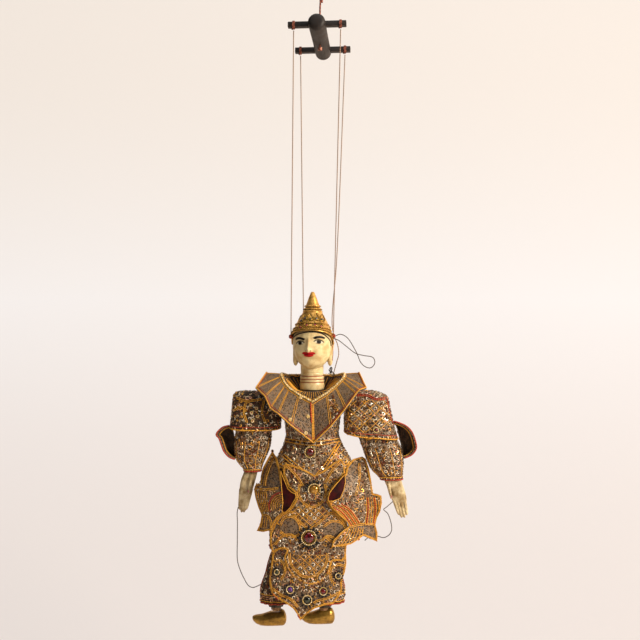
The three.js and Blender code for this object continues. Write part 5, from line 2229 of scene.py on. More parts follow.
@dataclass
class Collar:
    """The stiff cloud collar: petals that radiate from a beaded neckline."""

    edge: tuple[Triple, ...] = (
        (313.5, 443.8, -40), (331, 427, -47), (346, 408.7, -47), (356.8, 393.6, -42), (359.8, 390.2, -38),
        (366.6, 388, -26), (359.5, 372.5, 0),
    )
    edge_back: tuple[Triple, ...] = ((62, 26, -12), (-13, 42, -64), (-84, 26, -14))
    edge_left: tuple[Triple, ...] = (
        (266, 372.5, 0), (255.4, 388, -26), (264.4, 396.4, -38), (270, 409, -42), (277.5, 414, -47),
        (290.6, 426, -48),
    )
    braid_right: tuple[Triple, ...] = (
        (312.5, 400.8, -33), (326.5, 392.6, -30), (335, 386, -24), (341.2, 380, -18), (342.8, 378, -15),
        (343.7, 376.4, -12), (343.9, 374, 4),
    )
    braid_left: tuple[Triple, ...] = (
        (281.8, 374, 4), (282.2, 376.2, -12), (283.4, 379.8, -16), (286.2, 384.2, -20), (289.5, 387.8, -23),
        (299, 394, -29),
    )
    braid_back: tuple[Triple, ...] = ((30, 22, -1), (-13, 33, 0), (-56, 22, -1))
    silver: tuple[Pair, ...] = ((329, 399), (333, 396), (338, 406), (341, 416), (334, 423), (331, 412))
    flowers: tuple[Pair, ...] = ((300.4, 397.6), (305.7, 433), (307.9, 416.5), (290, 419.5))
    braided: float = 0.35
    cloth: Pair = (0.5, 0.09)
    pleats: int = 84

    def ring(self, right: Sequence[Triple], behind: Sequence[Triple], left: Sequence[Triple]) -> list[Vector]:
        """Gives a closed line from drawn points and points behind."""
        far = [Vector((x, y, NECK + up)) * MM for x, y, up in behind]
        first, last = ([seen(x, y, depth * MM) for x, y, depth in drawn] for drawn in (right, left))
        return [*first, *far, *last]

    def build(self) -> None:
        """Builds the collar in petals and sews on its trim."""
        edge = self.ring(self.edge, self.edge_back, self.edge_left)
        braid = self.ring(self.braid_right, self.braid_back, self.braid_left)
        count = len(edge)

        def along(line: Sequence[Vector], u: float) -> Vector:
            """Gives a point of a closed line."""
            s = (u * count) % count
            i = int(s)
            return line[i].lerp(line[(i + 1) % count], s - i)

        def place(u: float, v: float) -> Vector:
            """Gives the collar's point: neckline to braid, then braid to edge.

            Args:
                u: the share round.
                v: the share outwards.

            Returns:
                The point.
            """
            outer = along(braid, u)
            centre = Vector((-13.5 * MM, 2 * MM, NECK_Z - 25.7 * MM))
            way = (outer - centre) * Vector((1, 1, 0))
            inner = centre + way.normalized() * 24.5 * MM
            ruffle = 1.0 * MM * math.sin(math.tau * 44 * u) * min(v * 4, 1)
            if v < self.braided:
                return inner.lerp(outer, v / self.braided) + Vector((0, 0, ruffle))
            share = (v - self.braided) / (1 - self.braided)
            petal = abs(math.sin(math.pi * (u * count % 1))) ** 0.6
            petal *= math.sin(math.pi * min(share * 1.1, 1)) ** 0.5
            lifted = outer.lerp(along(edge, u), share)
            outward_way = Vector((lifted.x - centre.x, lifted.y - centre.y - 0.01, 0)).normalized()
            return lifted + (outward_way * 0.7 + Vector((0, 0, 0.7))) * (1.6 * MM * petal)

        bm, measure = new_mesh()
        mapped(bm, count * 14, 34, place, self.cloth)
        outward(bm, lambda f: f.calc_center_median() - Vector((-13 * MM, 6 * MM, NECK_Z - 60 * MM)))
        for f in bm.faces:
            if max(loop[measure].uv.y for loop in f.loops) < 0.34 * self.cloth[1]:
                f.material_index = 1
        skin = Skin(bm)
        made = to_object(bm, "cloud_collar", [NET_CLOTH, VELVET], "sequin_cloth")
        thicken(made, 2 * MM)
        made.modifiers["thickness"].material_offset_rim = 1
        seat(made, "trunk", "collar")
        trim = Trim("collar_trim", skin, 31)

        def round_at(share: float) -> list[Spot]:
            """Gives places all round the collar at a share of the way out."""
            return [skin.near(place(k / 320, share)) for k in range(321)]

        trim.cord(round_at(0.985), 1.15 * MM)
        trim.cord(round_at(0.94), 0.6 * MM, Sewn.RED_CORD)
        for p in every([spot[0] for spot in round_at(0.365)], 3.8 * MM):
            trim.bead(skin.near(p), 2.0 * MM)
        trim.cord(round_at(0.325), 0.6 * MM)
        trim.cord(round_at(0.41), 0.7 * MM)
        for k in range(self.pleats):
            share = (k + 0.5) / self.pleats
            trim.cord([skin.near(place(share, 0.03 + 0.025 * i)) for i in range(11)], 0.45 * MM)
        for i in range(count):
            for share in (i / count - 0.0035, i / count + 0.0035):
                trim.cord([skin.near(place(share, 0.43 + 0.52 * k / 24)) for k in range(25)], 0.5 * MM)
        trim.lines([[(310.6, 402), (310.9, 412), (311.4, 423)]], radius=1.2 * MM, sewn=Sewn.RED_CORD)
        trim.lines([[(313.1, 404), (313.4, 422), (313.9, 441)]], (0, 1.3))
        for x, y in self.flowers:
            self.flower(trim, skin.front(x, y))
        trim.strew(3.1 * MM, kept=[self.silver])
        trim.piece("trunk", "sequin_cloth")

    def flower(self, trim: Trim, spot: Spot | None) -> None:
        """Sews six pale sequins round a seventh.

        Args:
            trim: what they join.
            spot: their place, or None.
        """
        if not spot:
            return
        stand, up, size = standing(spot, 1.0), 0.4 * MM, 1.25 * MM
        trim.beads(stand, spot[1], 6, 2.2 * MM, up, size)
        trim.bead((stand @ Vector((0, 0, up)), spot[1]), size)


@dataclass
class Medallion:
    """A domed stone in rings of beads, on black wool petals, flat on the cloth in front of it."""

    name: str
    node: str
    centre: Triple
    glass: Sewn
    body: str = "trunk"
    radius: float = 10
    slot: str = "glass_stone"
    petals: int = 12

    def build(self) -> None:
        """Builds the medallion facing the viewer."""
        across, down, depth = self.centre
        spot = (seen(across, down, depth * MM), Vector((0, -1, 0)))
        bm, _ = new_mesh()
        bmesh.ops.create_grid(bm, x_segments=2, y_segments=2, size=1)
        trim = Trim(self.name, Skin(bm), 3)
        bm.free()
        stand = standing(spot, 1.0)
        r = self.radius
        bed = [(0, 0.1), (r * 0.97, 0.1), (r * 0.97, 0.9), (r * 0.6, 1.3), (0, 1.3)]
        turned(trim.bm, bed, 32, stand, Sewn.FRINGE.index)
        ring = [(r * 0.6, 1.0), (r * 0.62, 2.0), (r * 0.67, 2.0), (r * 0.68, 1.0), (r * 0.6, 1.0)]
        turned(trim.bm, ring, 32, stand, Sewn.BEZEL.index)
        dome = [(0, 1.0), (r * 0.6, 1.2), (r * 0.55, 2.8), (r * 0.38, 4.2), (r * 0.18, 4.8), (0, 4.9)]
        turned(trim.bm, dome, 28, stand, self.glass.index)
        beaded = r * 0.83
        trim.beads(stand, spot[1], round(math.tau * beaded / 2.9), beaded * MM, 1.1 * MM, 1.3 * MM)
        trim.tufts(stand, self.petals, r * MM, ((0.9, 0.9), (1.12, 1.5), (1.3, 0.6)), 2.0 * MM, 6)
        made = trim.piece(self.body, self.slot)
        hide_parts(self.node)


# Flaps and aprons


def hip_depth(x: float, z: float) -> float:
    """Gives the depth of cloth that lies over the hips."""
    down = min(max((NECK_Z - 130 * MM - z) / (60 * MM), 0), 1)
    a, b = (62 + 40 * down) * MM, (31 + 29 * down) * MM
    return -b * math.sqrt(max(1 - ((x + 11.5 * MM) / a) ** 2, 0.02))


def apron_depth(x: float, z: float) -> float:
    """Gives the depth of the front apron, which bulges over the peplum."""
    low = min(max((NECK_Z - z - 175 * MM) / (30 * MM), 0), 1)
    hang = 9.5 * (1 - low * low * (3 - 2 * low))
    return (-51.5 + hang + 0.0022 * (x / MM + 13) ** 2) * MM


def lower_depth(x: float, z: float) -> float:
    """Gives the depth of the lower apron, which starts behind the upper one."""
    low = min(max((NECK_Z - z - 290 * MM) / (40 * MM), 0), 1)
    return (-51.5 + 3.2 + 0.0022 * (x / MM + 13) ** 2 - 3 * low * low * (3 - 2 * low)) * MM


def volute(x: float, y: float, radius: float, pitch: float, start: float, turns: float) -> Line:
    """Gives a flat spiral that winds inwards from a start angle, in degrees.

    Args:
        x: its centre, across.
        y: its centre, down.
        radius: where it starts.
        pitch: how far one turn winds in.
        start: the start angle.
        turns: how many turns.

    Returns:
        Its points.
    """
    steps = int(abs(turns) * 18)
    line = []
    for k in range(steps + 1):
        reach = radius - pitch * abs(turns) * k / steps
        turn = math.radians(start) + math.tau * turns * k / steps
        line.append((x + reach * math.cos(turn), y + reach * math.sin(turn)))
    return line


@dataclass
class Trimming:
    """What is sewn on one panel, in units of the front drawing."""

    cords: Sequence[Line] = ()
    double: Sequence[Line] = ()
    rows: Sequence[Line] = ()
    nets: Sequence[tuple[Line, float, float]] = ()
    stones: Sequence[tuple[float, float, float, Sewn]] = ()
    bare: Sequence[Line] = ()
    red: Sequence[Line] = ()
    edge: tuple[float, ...] = (0.5, 1.5)
    strewn: bool = True


@dataclass
class DressedPanel:
    """A padded panel with what is sewn on it."""

    panel: ClothPanel
    trimming: Trimming
    seed: int = 1

    def build(self) -> None:
        """Builds the panel and its trim."""
        made, skin = self.panel.build()
        wear = self.trimming
        trim = Trim(f"{self.panel.name}_trim", skin, self.seed)
        for x, y, radius, glass in wear.stones:
            trim.stone(skin.front(x, y), radius * 1.65 * MM, glass)
        for inset in wear.edge:
            for run in trim.lay(self.panel.edge(inset)):
                trim.cord(run, THIN_CORD)
        trim.lines(wear.cords, radius=THIN_CORD)
        trim.lines(wear.double, (-0.75, 0.75), THIN_CORD)
        trim.lines(wear.red, radius=1.1 * MM, sewn=Sewn.RED_CORD)
        trim.rows(wear.rows)
        for outline, pitch, slope in wear.nets:
            trim.net(outline, pitch, slope)
        if wear.strewn:
            trim.strew(bare=wear.bare)
        trim.piece(self.panel.body, self.panel.slot)


def flap(side: Side, outline: Line, trimming: Trimming, seed: int) -> DressedPanel:
    """Gives a stiff flap that swings at one hip.

    Args:
        side: its side.
        outline: its outline, on the front drawing.
        trimming: what is sewn on it.
        seed: the seed of its chance.

    Returns:
        The panel.
    """
    node = f"side_flap_{side.word}"
    name = f"hip_flap_{side.word}"
    panel = ClothPanel(
        name, node, (node,), outline, hip_depth, NET_CLOTH, "gold_cloth", thickness=2.8 * MM
    )
    return DressedPanel(panel, trimming, seed)


def lapel(side: Side, outline: Line, seed: int) -> DressedPanel:
    """Gives the satin lapel that lies on a flap."""
    panel = ClothPanel(
        f"hip_lapel_{side.word}", f"side_flap_{side.word}", (), outline,
        lambda x, z: hip_depth(x, z) - 3.2 * MM, LAPEL_SATIN, "gold_cloth", thickness=1.6 * MM, puff=0.4 * MM,
    )
    return DressedPanel(panel, Trimming(edge=(0.5,), strewn=False), seed)


LEFT_FLAP = flap(
    Side.LEFT,
    [
        (272.4, 450.9), (268, 458), (262.7, 467.9), (260.8, 476), (260.3, 483.6), (256.5, 484.2),
        (254.6, 486.5), (254.4, 492), (255.5, 498.2), (258.2, 507), (261.5, 515.2), (260, 524),
        (256.7, 530.9), (263, 532), (271.2, 530.3), (275, 522), (278.5, 517.6), (284, 513), (286, 503),
        (284.5, 492), (281.5, 480), (279.7, 467.9), (277, 458),
    ],
    Trimming(
        double=[
            [(274.5, 456), (270, 466), (266, 477), (264.5, 486)],
            [(256, 489), (268, 489.5), (279, 488)],
            [(262.5, 514.5), (268, 516), (271, 522), (271, 529)],
        ],
        cords=[
            *[volute(282.1, 505.5, radius, 0, 150, 0.5) for radius in (3, 5, 7, 9, 11)],
            *[[(256.5 + k * 1.9, 491), (257.5 + k * 1.9, 500), (261.5 + k * 1.5, 512)] for k in range(6)],
            *[[(261 + k * 2.2, 517), (259.5 + k * 2.2, 528)] for k in range(4)],
        ],
        red=[volute(282.1, 505.5, 13, 0, 150, 0.45)],
        bare=[
            [(262, 466), (281, 462), (285, 495), (262, 488)],
            [(256, 515), (284, 515), (270, 532), (254, 532)],
        ],
    ),
    41,
)

LEFT_LAPEL = lapel(
    Side.LEFT,
    [
        (280, 468), (283, 476), (288.2, 488.5), (292, 492), (295.5, 493.3), (296.6, 496), (296.1, 498.2),
        (290.6, 507.9), (287, 511.5), (283.3, 513.9), (281.5, 510), (282.5, 503), (281.5, 492), (280.5, 480),
    ],
    42,
)

RIGHT_FLAP = flap(
    Side.RIGHT,
    [
        (362.1, 456.5), (365.8, 458.8), (368.8, 468), (371.2, 480), (373, 493.3), (378, 494.4),
        (381.5, 495.8), (382, 503), (380.3, 511.5), (377, 518), (375.5, 524.8), (377.6, 533),
        (377.3, 541.8), (370, 538.5), (363.3, 535.8), (357, 540.5), (351.2, 544.2), (341, 546.5),
        (331.4, 546.9), (333.5, 540), (341, 532), (348.8, 526.1), (347.6, 522.4), (339.1, 515.2),
        (331.8, 507.9), (328.6, 501.8), (330.5, 493), (338, 483), (345.2, 473.9), (347, 466), (353, 459),
    ],
    Trimming(
        double=[
            [(359, 463), (359.5, 475), (358, 486), (355.5, 496)],
            [(350.5, 527), (360, 524.5), (370, 524), (376, 524.6)],
        ],
        cords=[
            *[
                [(332 + k * 2.0, 508 - k * 0.9), (341 + k * 1.9, 513 - k * 0.7),
                 (351 + k * 1.8, 526 - k * 0.6)]
                for k in range(6)
            ],
            *[[(366 + k * 2.3, 497), (366.5 + k * 2.5, 508), (365 + k * 2.3, 524)] for k in range(6)],
            *[
                [(349 + k * 2.4, 527.5), (344 + k * 2.9, 537), (336 + k * 4.2, 547 - k * 1.7)]
                for k in range(7)
            ],
        ],
        red=[
            *[
                [(333 + k * 4.0, 507 - k * 1.8), (342 + k * 3.8, 512.4 - k * 1.4),
                 (352 + k * 3.6, 525.6 - k * 1.2)]
                for k in range(3)
            ],
            [(367.2, 497), (367.7, 508), (366.2, 524)],
            [(374.2, 497), (375.3, 508), (373.2, 524)],
        ],
        rows=[volute(337, 505, 4.4, 0, 60, 0.9)],
        bare=[
            [(344, 472), (352, 460), (357, 462), (356, 494), (345, 492)],
            [(362, 526), (378, 526), (378, 543), (362, 537)],
        ],
    ),
    43,
)

RIGHT_LAPEL = lapel(
    Side.RIGHT,
    [
        (345.2, 473), (340, 479), (334.5, 485.5), (329.4, 492.1), (327.9, 497), (327.8, 501.6), (333, 501.6),
        (340.3, 498.8), (344, 491), (345.8, 482.4),
    ],
    44,
)

# Fields of the upper apron
LEFT_FIELD = [(280, 526), (284, 518.5), (293, 517), (300, 526), (298, 535), (287, 536), (280, 531)]
RIGHT_FIELD = [(323, 527), (333, 521), (343, 524), (345.5, 532), (343, 539), (333, 542), (325, 536)]
UPPER_NET = [(299, 506), (325, 506), (331, 513), (320, 522), (309, 530), (300, 522), (290, 512)]
HALF_DISC = [(291, 554), (327, 554), (325, 563), (320, 570), (309, 575), (298, 571), (293, 564)]

UPPER_APRON = DressedPanel(
    ClothPanel(
        "apron_upper",
        "trunk",
        ("front_apron",),
        [
            (284, 463), (296, 466), (306, 470), (314.5, 475), (324, 470), (333, 463), (341, 458.5),
            (345, 465), (345.2, 472.7), (337, 483), (330, 492.1), (328.4, 501.8), (332, 508),
            (339, 515), (347, 522.4), (348.5, 530), (346.8, 538), (346.5, 546), (345.8, 557),
            (343, 561.5), (334, 560.5), (332, 562), (330.5, 568), (329, 573), (325.5, 578), (321, 582),
            (312, 584.8), (303, 583), (294, 577), (290, 572), (287, 567), (284.6, 561), (284, 556.5),
            (287, 550), (283, 548.5), (276, 551), (271.8, 552.7), (270, 543), (270, 533.3), (274, 525),
            (278.5, 517.6), (283.3, 513.4), (291, 507.5), (296.3, 499), (295.4, 493), (288.5, 487.5),
            (283, 474),
        ],
        apron_depth,
        NET_CLOTH,
        quilted=[
            [(290, 512), (300, 520), (309, 528), (318, 520), (329, 511)],
            [(287, 550), (296, 541), (309, 546), (322, 541), (333, 553)],
            [(303, 478), (300, 490), (302, 502), (310, 507), (320, 502), (324, 490), (320, 478)],
        ],
    ),
    Trimming(
        double=[
            [(282.9, 463), (291, 470), (298, 478), (303, 486)],
            [(340, 462), (331, 472), (325, 483)],
            [(300, 484), (298.5, 494), (304, 503), (312, 507), (321, 503), (326, 494), (325, 484)],
            [(284, 516), (291, 512), (300, 522), (309, 530)],
            [(309, 530), (320, 522), (331, 513), (337, 517), (343, 523)],
            LEFT_FIELD,
            RIGHT_FIELD,
            [(274, 545), (283, 536), (292, 535), (298, 541)],
            [(320, 542), (328, 536), (337, 540), (344, 547)],
            [(289.4, 553), (290.5, 562), (295, 570), (302, 575.5), (308.5, 577), (316, 575), (322, 570),
             (326.5, 562), (327.4, 553)],
        ],
        rows=[
            [(286.5, 556), (289, 566), (294, 574), (302, 580), (311, 581), (319, 579), (325, 573),
             (329.5, 563)],
            [(304, 489), (303.5, 496), (308, 501.5), (315, 502.5), (321, 498), (322.5, 489)],
            [(296, 541), (299, 547), (305, 551), (312, 551), (318, 547), (321, 541)],
        ],
        nets=[(UPPER_NET, 5.4, 42), (HALF_DISC, 5.8, 42)],
        bare=[LEFT_FIELD, RIGHT_FIELD, UPPER_NET, HALF_DISC],
    ),
    45,
)

LOWER_APRON = DressedPanel(
    ClothPanel(
        "apron_lower",
        "trunk",
        ("lower_apron",),
        [
            (282, 545), (309, 545), (340, 545), (346, 551), (346.5, 563), (345, 572), (342, 580.6),
            (342.2, 589), (340, 595), (333.6, 603.6), (324, 605.5), (314.8, 608.5), (307.6, 613.3),
            (303.6, 617.5), (300.3, 620.6), (297, 614), (293, 608.5), (284, 602), (274.8, 597.4),
            (272, 594), (270, 587), (269, 580), (270, 573), (271, 567), (271.5, 560), (273, 552),
        ],
        lower_depth,
        NET_CLOTH,
        quilted=[
            [(283, 570), (285, 582), (296, 592), (307, 600)],
            [(333, 572), (330, 582), (319, 592), (307, 600)],
        ],
    ),
    Trimming(
        double=[
            [(273, 562), (279, 560), (284, 564), (285, 572), (281, 580)],
            [(344, 566), (338, 564.5), (332, 568), (330, 576), (333, 583)],
            [(272, 588), (281, 594.5), (291, 599.5), (298, 607)],
            [(340, 592), (328, 598), (317, 601), (308, 608)],
        ],
        rows=[[(287, 572), (291, 579), (300, 586), (307, 591), (315, 587), (324, 580), (327.5, 572)]],
        stones=[
            (277, 572.1, 3.3, Sewn.GREEN), (338.2, 575.8, 3.6, Sewn.JET), (290.2, 589.7, 4.6, Sewn.AMETHYST),
            (323.3, 591.3, 4.6, Sewn.RUBY), (307.2, 600, 5.6, Sewn.GREEN),
        ],
        red=[[(271.4, 592), (278, 599), (286, 603.6), (293.6, 609.6), (299.6, 618)]],
    ),
    46,
)


@dataclass
class HipSkirt:
    """The cloth round the hips, under the flaps and aprons."""

    rows: tuple[Oval, ...] = (
        below_neck(-152, 48.6, 29.6), below_neck(-160, 58, 35, -14), below_neck(-185, 64, 41, -17),
        below_neck(-230, 65, 43, -20), below_neck(-292, 64, 42, -21),
    )
    covered: tuple[Pair, ...] = ((240, 440), (400, 440), (400, 640), (240, 640))

    def build(self) -> None:
        """Builds the skirt and sews on its trim."""
        tube = ClothTube(
            "under_skirt", "trunk", ("hip_skirt",), self.rows, DARK_NET_AND_SLEEVE_SHADE, "dark_cloth", 2 * MM, 120, 40
        )
        tube.pleats, tube.pleat_mm = 17, 1.3
        made, skin = tube.build()
        trim = Trim("under_skirt_trim", skin, 51)
        trim.cord(tube.ring(skin, 0.985), 1.3 * MM, Sewn.RED_CORD)
        for v in (0.94, 0.87, 0.45):
            trim.cord(tube.ring(skin, v))
        trim.row(tube.ring(skin, 0.905), 3.3 * MM)
        for k in range(9):
            trim.cord(tube.seam(skin, 0.02 + k * 0.058, 0.46, 0.86))
        trim.strew(4.4 * MM, [self.covered])
        trim.piece("trunk", "dark_cloth")


# Arms

UPPER_SLEEVES = {
    Side.LEFT: (
        (390.6, 241, 274, 0.4), (391.2, 239, 276, 3), (392.2, 235.5, 279, 8), (396, 233.2, 281, 14.5),
        (403, 232.4, 281.3, 19), (411, 231.8, 281.3, 23.5), (419, 231, 281.3, 27), (427.5, 230.3, 280.5, 28),
    ),
    Side.RIGHT: (
        (390, 353, 373, 0.4), (390.5, 352, 374, 3), (392.5, 348, 381, 8), (396.5, 346, 387.5, 14.5),
        (404, 345, 389.6, 19), (413, 344.3, 391.5, 24), (424, 344, 394, 27.5), (435, 344.5, 397.5, 28),
    ),
}
FORE_SLEEVES = {
    Side.LEFT: (
        (424, 239, 270, 19), (430, 236.2, 271.6, 21), (437, 235, 271.4, 22), (445, 234.6, 270.5, 21.5),
        (452, 234.7, 268.2, 20), (458, 235.8, 265.4, 18), (463, 238.8, 263.2, 16), (468, 243, 261.6, 13.5),
        (470.5, 244.3, 261, 13),
    ),
    Side.RIGHT: (
        (430, 356, 392, 19), (438, 359, 396, 21), (446, 362, 400.2, 22), (455, 365, 402.6, 21.5),
        (463, 368.2, 403.2, 20), (470, 372, 402.8, 17.5), (475, 377.4, 402.6, 15), (479, 380.8, 402.3, 13.5),
    ),
}
WINGS = {
    Side.LEFT: (
        [(231.5, 426.5), (232.5, 429), (233.8, 432), (234.6, 437), (235.2, 443), (235.4, 450), (235.4, 455),
         (235.8, 458.8)],
        [(229.5, 425.8), (222.3, 428), (216.6, 434.6), (219.2, 438), (221.3, 443.5), (224.5, 451.5),
         (229.5, 456.8), (235, 459)],
    ),
    Side.RIGHT: (
        [(393.2, 422.5), (395.8, 426), (397.6, 431), (398.8, 437), (400.4, 443), (401.6, 449), (402.2, 454),
         (402.8, 458.5)],
        [(393.5, 421.5), (399.3, 423.3), (406, 426.4), (411.2, 431.5), (415.2, 441.7), (415.8, 448.5),
         (411.5, 454.4), (404.1, 457.8)],
    ),
}

# What is sewn on the puffed sleeves, on the front drawing
SHOULDER_NET = [(347, 402), (366, 399), (387, 399), (390, 412), (393, 426), (347, 438)]
SHOULDER_BRAIDS = [
    [(352, 395), (366, 394.5), (377, 398.5), (386, 397.5)],
    [(352, 396.5), (366, 396), (377, 400), (386, 399)],
    [(386.8, 398), (388.7, 408), (391, 419), (394, 425.6)],
]
SHOULDER_STONE = (376, 430)
SHOULDER_LINES = [
    [(236, 398), (247, 401), (262, 399)], [(233, 411), (240, 407), (247, 411)],
    [(246, 402), (244, 412), (247, 423)], [(264, 400), (262, 413), (266, 424)],
]
SHOULDER_BUDS = ((251, 405), (256.5, 408.5), (251.5, 413), (257.5, 416.5), (252.5, 421), (269.5, 410))


@dataclass
class Arm:
    """One arm: a puffed upper sleeve, a lower sleeve with a winged cuff, and a painted hand."""

    side: Side

    def build(self) -> None:
        """Builds the sleeves and the hand."""
        self.upper_sleeve()
        self.lower_sleeve()
        self.wing()
        Hand(self.side).build()

    def upper_sleeve(self) -> None:
        """Builds the puffed sleeve over the shoulder, in the darker net on the left as painted shade."""
        word, right = self.side.word, self.side is Side.RIGHT
        # Painted shade: the left sleeve takes the darker net for the shade on that arm.
        tube = ClothTube(
            f"puff_sleeve_{word}", f"upper_arm_{word}", (f"upper_sleeve_{word}",),
            drawn_ovals(UPPER_SLEEVES[self.side], 3.2), NET_CLOTH if right else DARK_NET_AND_SLEEVE_SHADE,
            columns=84, levels=30, thickness=2 * MM,
        )
        lean = 6.3 if right else 0.0
        tube.lift = lambda turn: -3.2 * max(-math.sin(turn), 0) - lean * math.cos(turn)
        made, skin = tube.build()
        trim = Trim(f"puff_sleeve_{word}_trim", skin, 61 + self.side.value)
        trim.cord(tube.ring(skin, 0.985), 1.1 * MM)
        trim.cord(tube.ring(skin, 0.94), 0.6 * MM, Sewn.RED_CORD)
        if right:
            trim.net(SHOULDER_NET, 7.4, 42)
            trim.lines(SHOULDER_BRAIDS, radius=0.9 * MM, sewn=Sewn.RED_CORD)
            trim.stone(skin.front(*SHOULDER_STONE), 5.2 * MM, Sewn.RUBY, False)
        else:
            trim.lines(SHOULDER_LINES, (-0.7, 0.7), 0.6 * MM)
            for x, y in SHOULDER_BUDS:
                trim.stone(skin.front(x, y), 2.6 * MM, Sewn.PINK, False)
        trim.strew(4.4 * MM)
        trim.piece(f"upper_arm_{word}", "sequin_cloth")

    def lower_sleeve(self) -> None:
        """Builds the sleeve from the elbow to the wrist."""
        sign, word = self.side.value, self.side.word
        tube = ClothTube(
            f"fore_sleeve_{word}", f"forearm_{word}", (f"lower_sleeve_{word}",),
            drawn_ovals(FORE_SLEEVES[self.side], 2.2), NET_CLOTH, columns=72, levels=34, thickness=1.8 * MM,
        )
        made, skin = tube.build()
        trim = Trim(f"fore_sleeve_{word}_trim", skin, 71 + sign)
        trim.cord(tube.ring(skin, 0.985), 1.2 * MM, Sewn.RED_CORD)
        trim.cord(tube.ring(skin, 0.9))
        trim.row(tube.ring(skin, 0.945))
        for u in (k / 9 + 0.03 for k in range(9)):
            trim.cord(tube.seam(skin, u, 0.3, 0.86), 0.6 * MM)
            trim.row(tube.seam(skin, u + 1 / 18, 0.32, 0.84), size=1.7 * MM)
        trim.strew()
        trim.piece(f"forearm_{word}", "sequin_cloth")

    def wing(self) -> None:
        """Builds the winged cuff, which opens towards the viewer beside the lower sleeve."""
        sign, word = self.side.value, self.side.word
        root, rim = (smooth(line, 0.25) for line in WINGS[self.side])
        bulge, reach = 11.0, 14.0

        def place(u: float, v: float) -> Vector:
            """Gives the wing's point at a share along its root and a share of the way out."""
            near, far = (line[round(u * (len(line) - 1))] for line in (root, rim))
            flat = near.lerp(far, v)
            return seen(flat.x, flat.y, (2 - reach * v + bulge * math.sin(math.pi * v)) * MM)

        bm, _ = new_mesh()
        mapped(bm, 64, 18, place, (0.07, 0.03))
        outward(bm, lambda f: Vector((sign, 1, 0)))
        skin = Skin(bm)
        made = to_object(bm, f"sleeve_wing_{word}", [NET_CLOTH, DARK_NET_AND_SLEEVE_SHADE], "sequin_cloth")
        thicken(made, 1.8 * MM)
        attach(made, f"forearm_{word}")
        trim = Trim(f"sleeve_wing_{word}_trim", skin, 81 + sign)
        for share, radius, sewn in ((1.0, 1.3, Sewn.RED_CORD), (0.93, 0.9, Sewn.GOLD_CORD)):
            trim.cord([skin.near(place(k / 80, share)) for k in range(81)], radius * MM, sewn)
        inner = [(p - n * 1.8 * MM, -n) for p, n in (skin.near(place(k / 80, 0.9)) for k in range(81))]
        trim.cord(inner, 0.9 * MM)
        trim.strew()
        trim.piece(f"forearm_{word}", "sequin_cloth")


def drawn_ovals(levels: Sequence[tuple[float, float, float, float]], squareness: float) -> tuple[Oval, ...]:
    """Turns levels of the front drawing into a tube's rows.

    Args:
        levels: each one's height, left edge and right edge on the drawing, and half its depth in millimetres.
        squareness: how square the tube is.

    Returns:
        The rows, whose middles lie at the figure's middle depth.
    """
    rows = []
    for down, left, right, half in levels:
        a, b = seen(left, down) / MM, seen(right, down) / MM
        rows.append(Oval((a.x + b.x) / 2, a.z, (b.x - a.x) / 2, half, 0, squareness))
    return tuple(rows)


@dataclass(frozen=True)
class HandShape:
    """A hand on the front drawing: palm levels, the fingers' roots and tips, and the thumb."""

    palm: tuple[tuple[float, float, float, float], ...]
    roots: tuple[tuple[float, float], tuple[float, float]]
    tips: tuple[Pair, ...]
    thumb: tuple[Triple, ...]


HANDS = {
    Side.LEFT: HandShape(
        ((462, 249, 256, 0.5), (462.5, 246.5, 258.5, 5), (470, 244.6, 258, 6), (480.3, 240.8, 255.4, 6.4),
         (490, 239.3, 252.7, 5.8), (496, 239, 251, 4.4), (499.5, 240, 249.5, 2), (500, 241, 248.5, 0.5)),
        ((240.9, 490), (251.0, 490)),
        ((239.6, 508.6), (241.6, 511.4), (244.0, 511.4), (246.3, 508.8)),
        ((251.5, 474, -5), (250.6, 481, -7.5), (249.3, 488, -8.5), (248.4, 492.4, -8)),
    ),
    Side.RIGHT: HandShape(
        ((468, 388, 396, 0.5), (468.5, 385, 399, 5), (476, 383.6, 401, 6), (483, 385.2, 402.2, 6.4),
         (492, 390, 405.2, 5.8), (499, 392.2, 406.6, 4.6), (504.5, 395.2, 406.2, 2), (505, 396.5, 405, 0.5)),
        ((392.0, 494), (403.2, 494)),
        ((398.9, 514.2), (401.6, 516.8), (404.4, 516.8), (406.9, 514.2)),
        ((388.6, 477, -5), (388.4, 485, -7.5), (390.0, 492, -8), (391.4, 498, -7)),
    ),
}


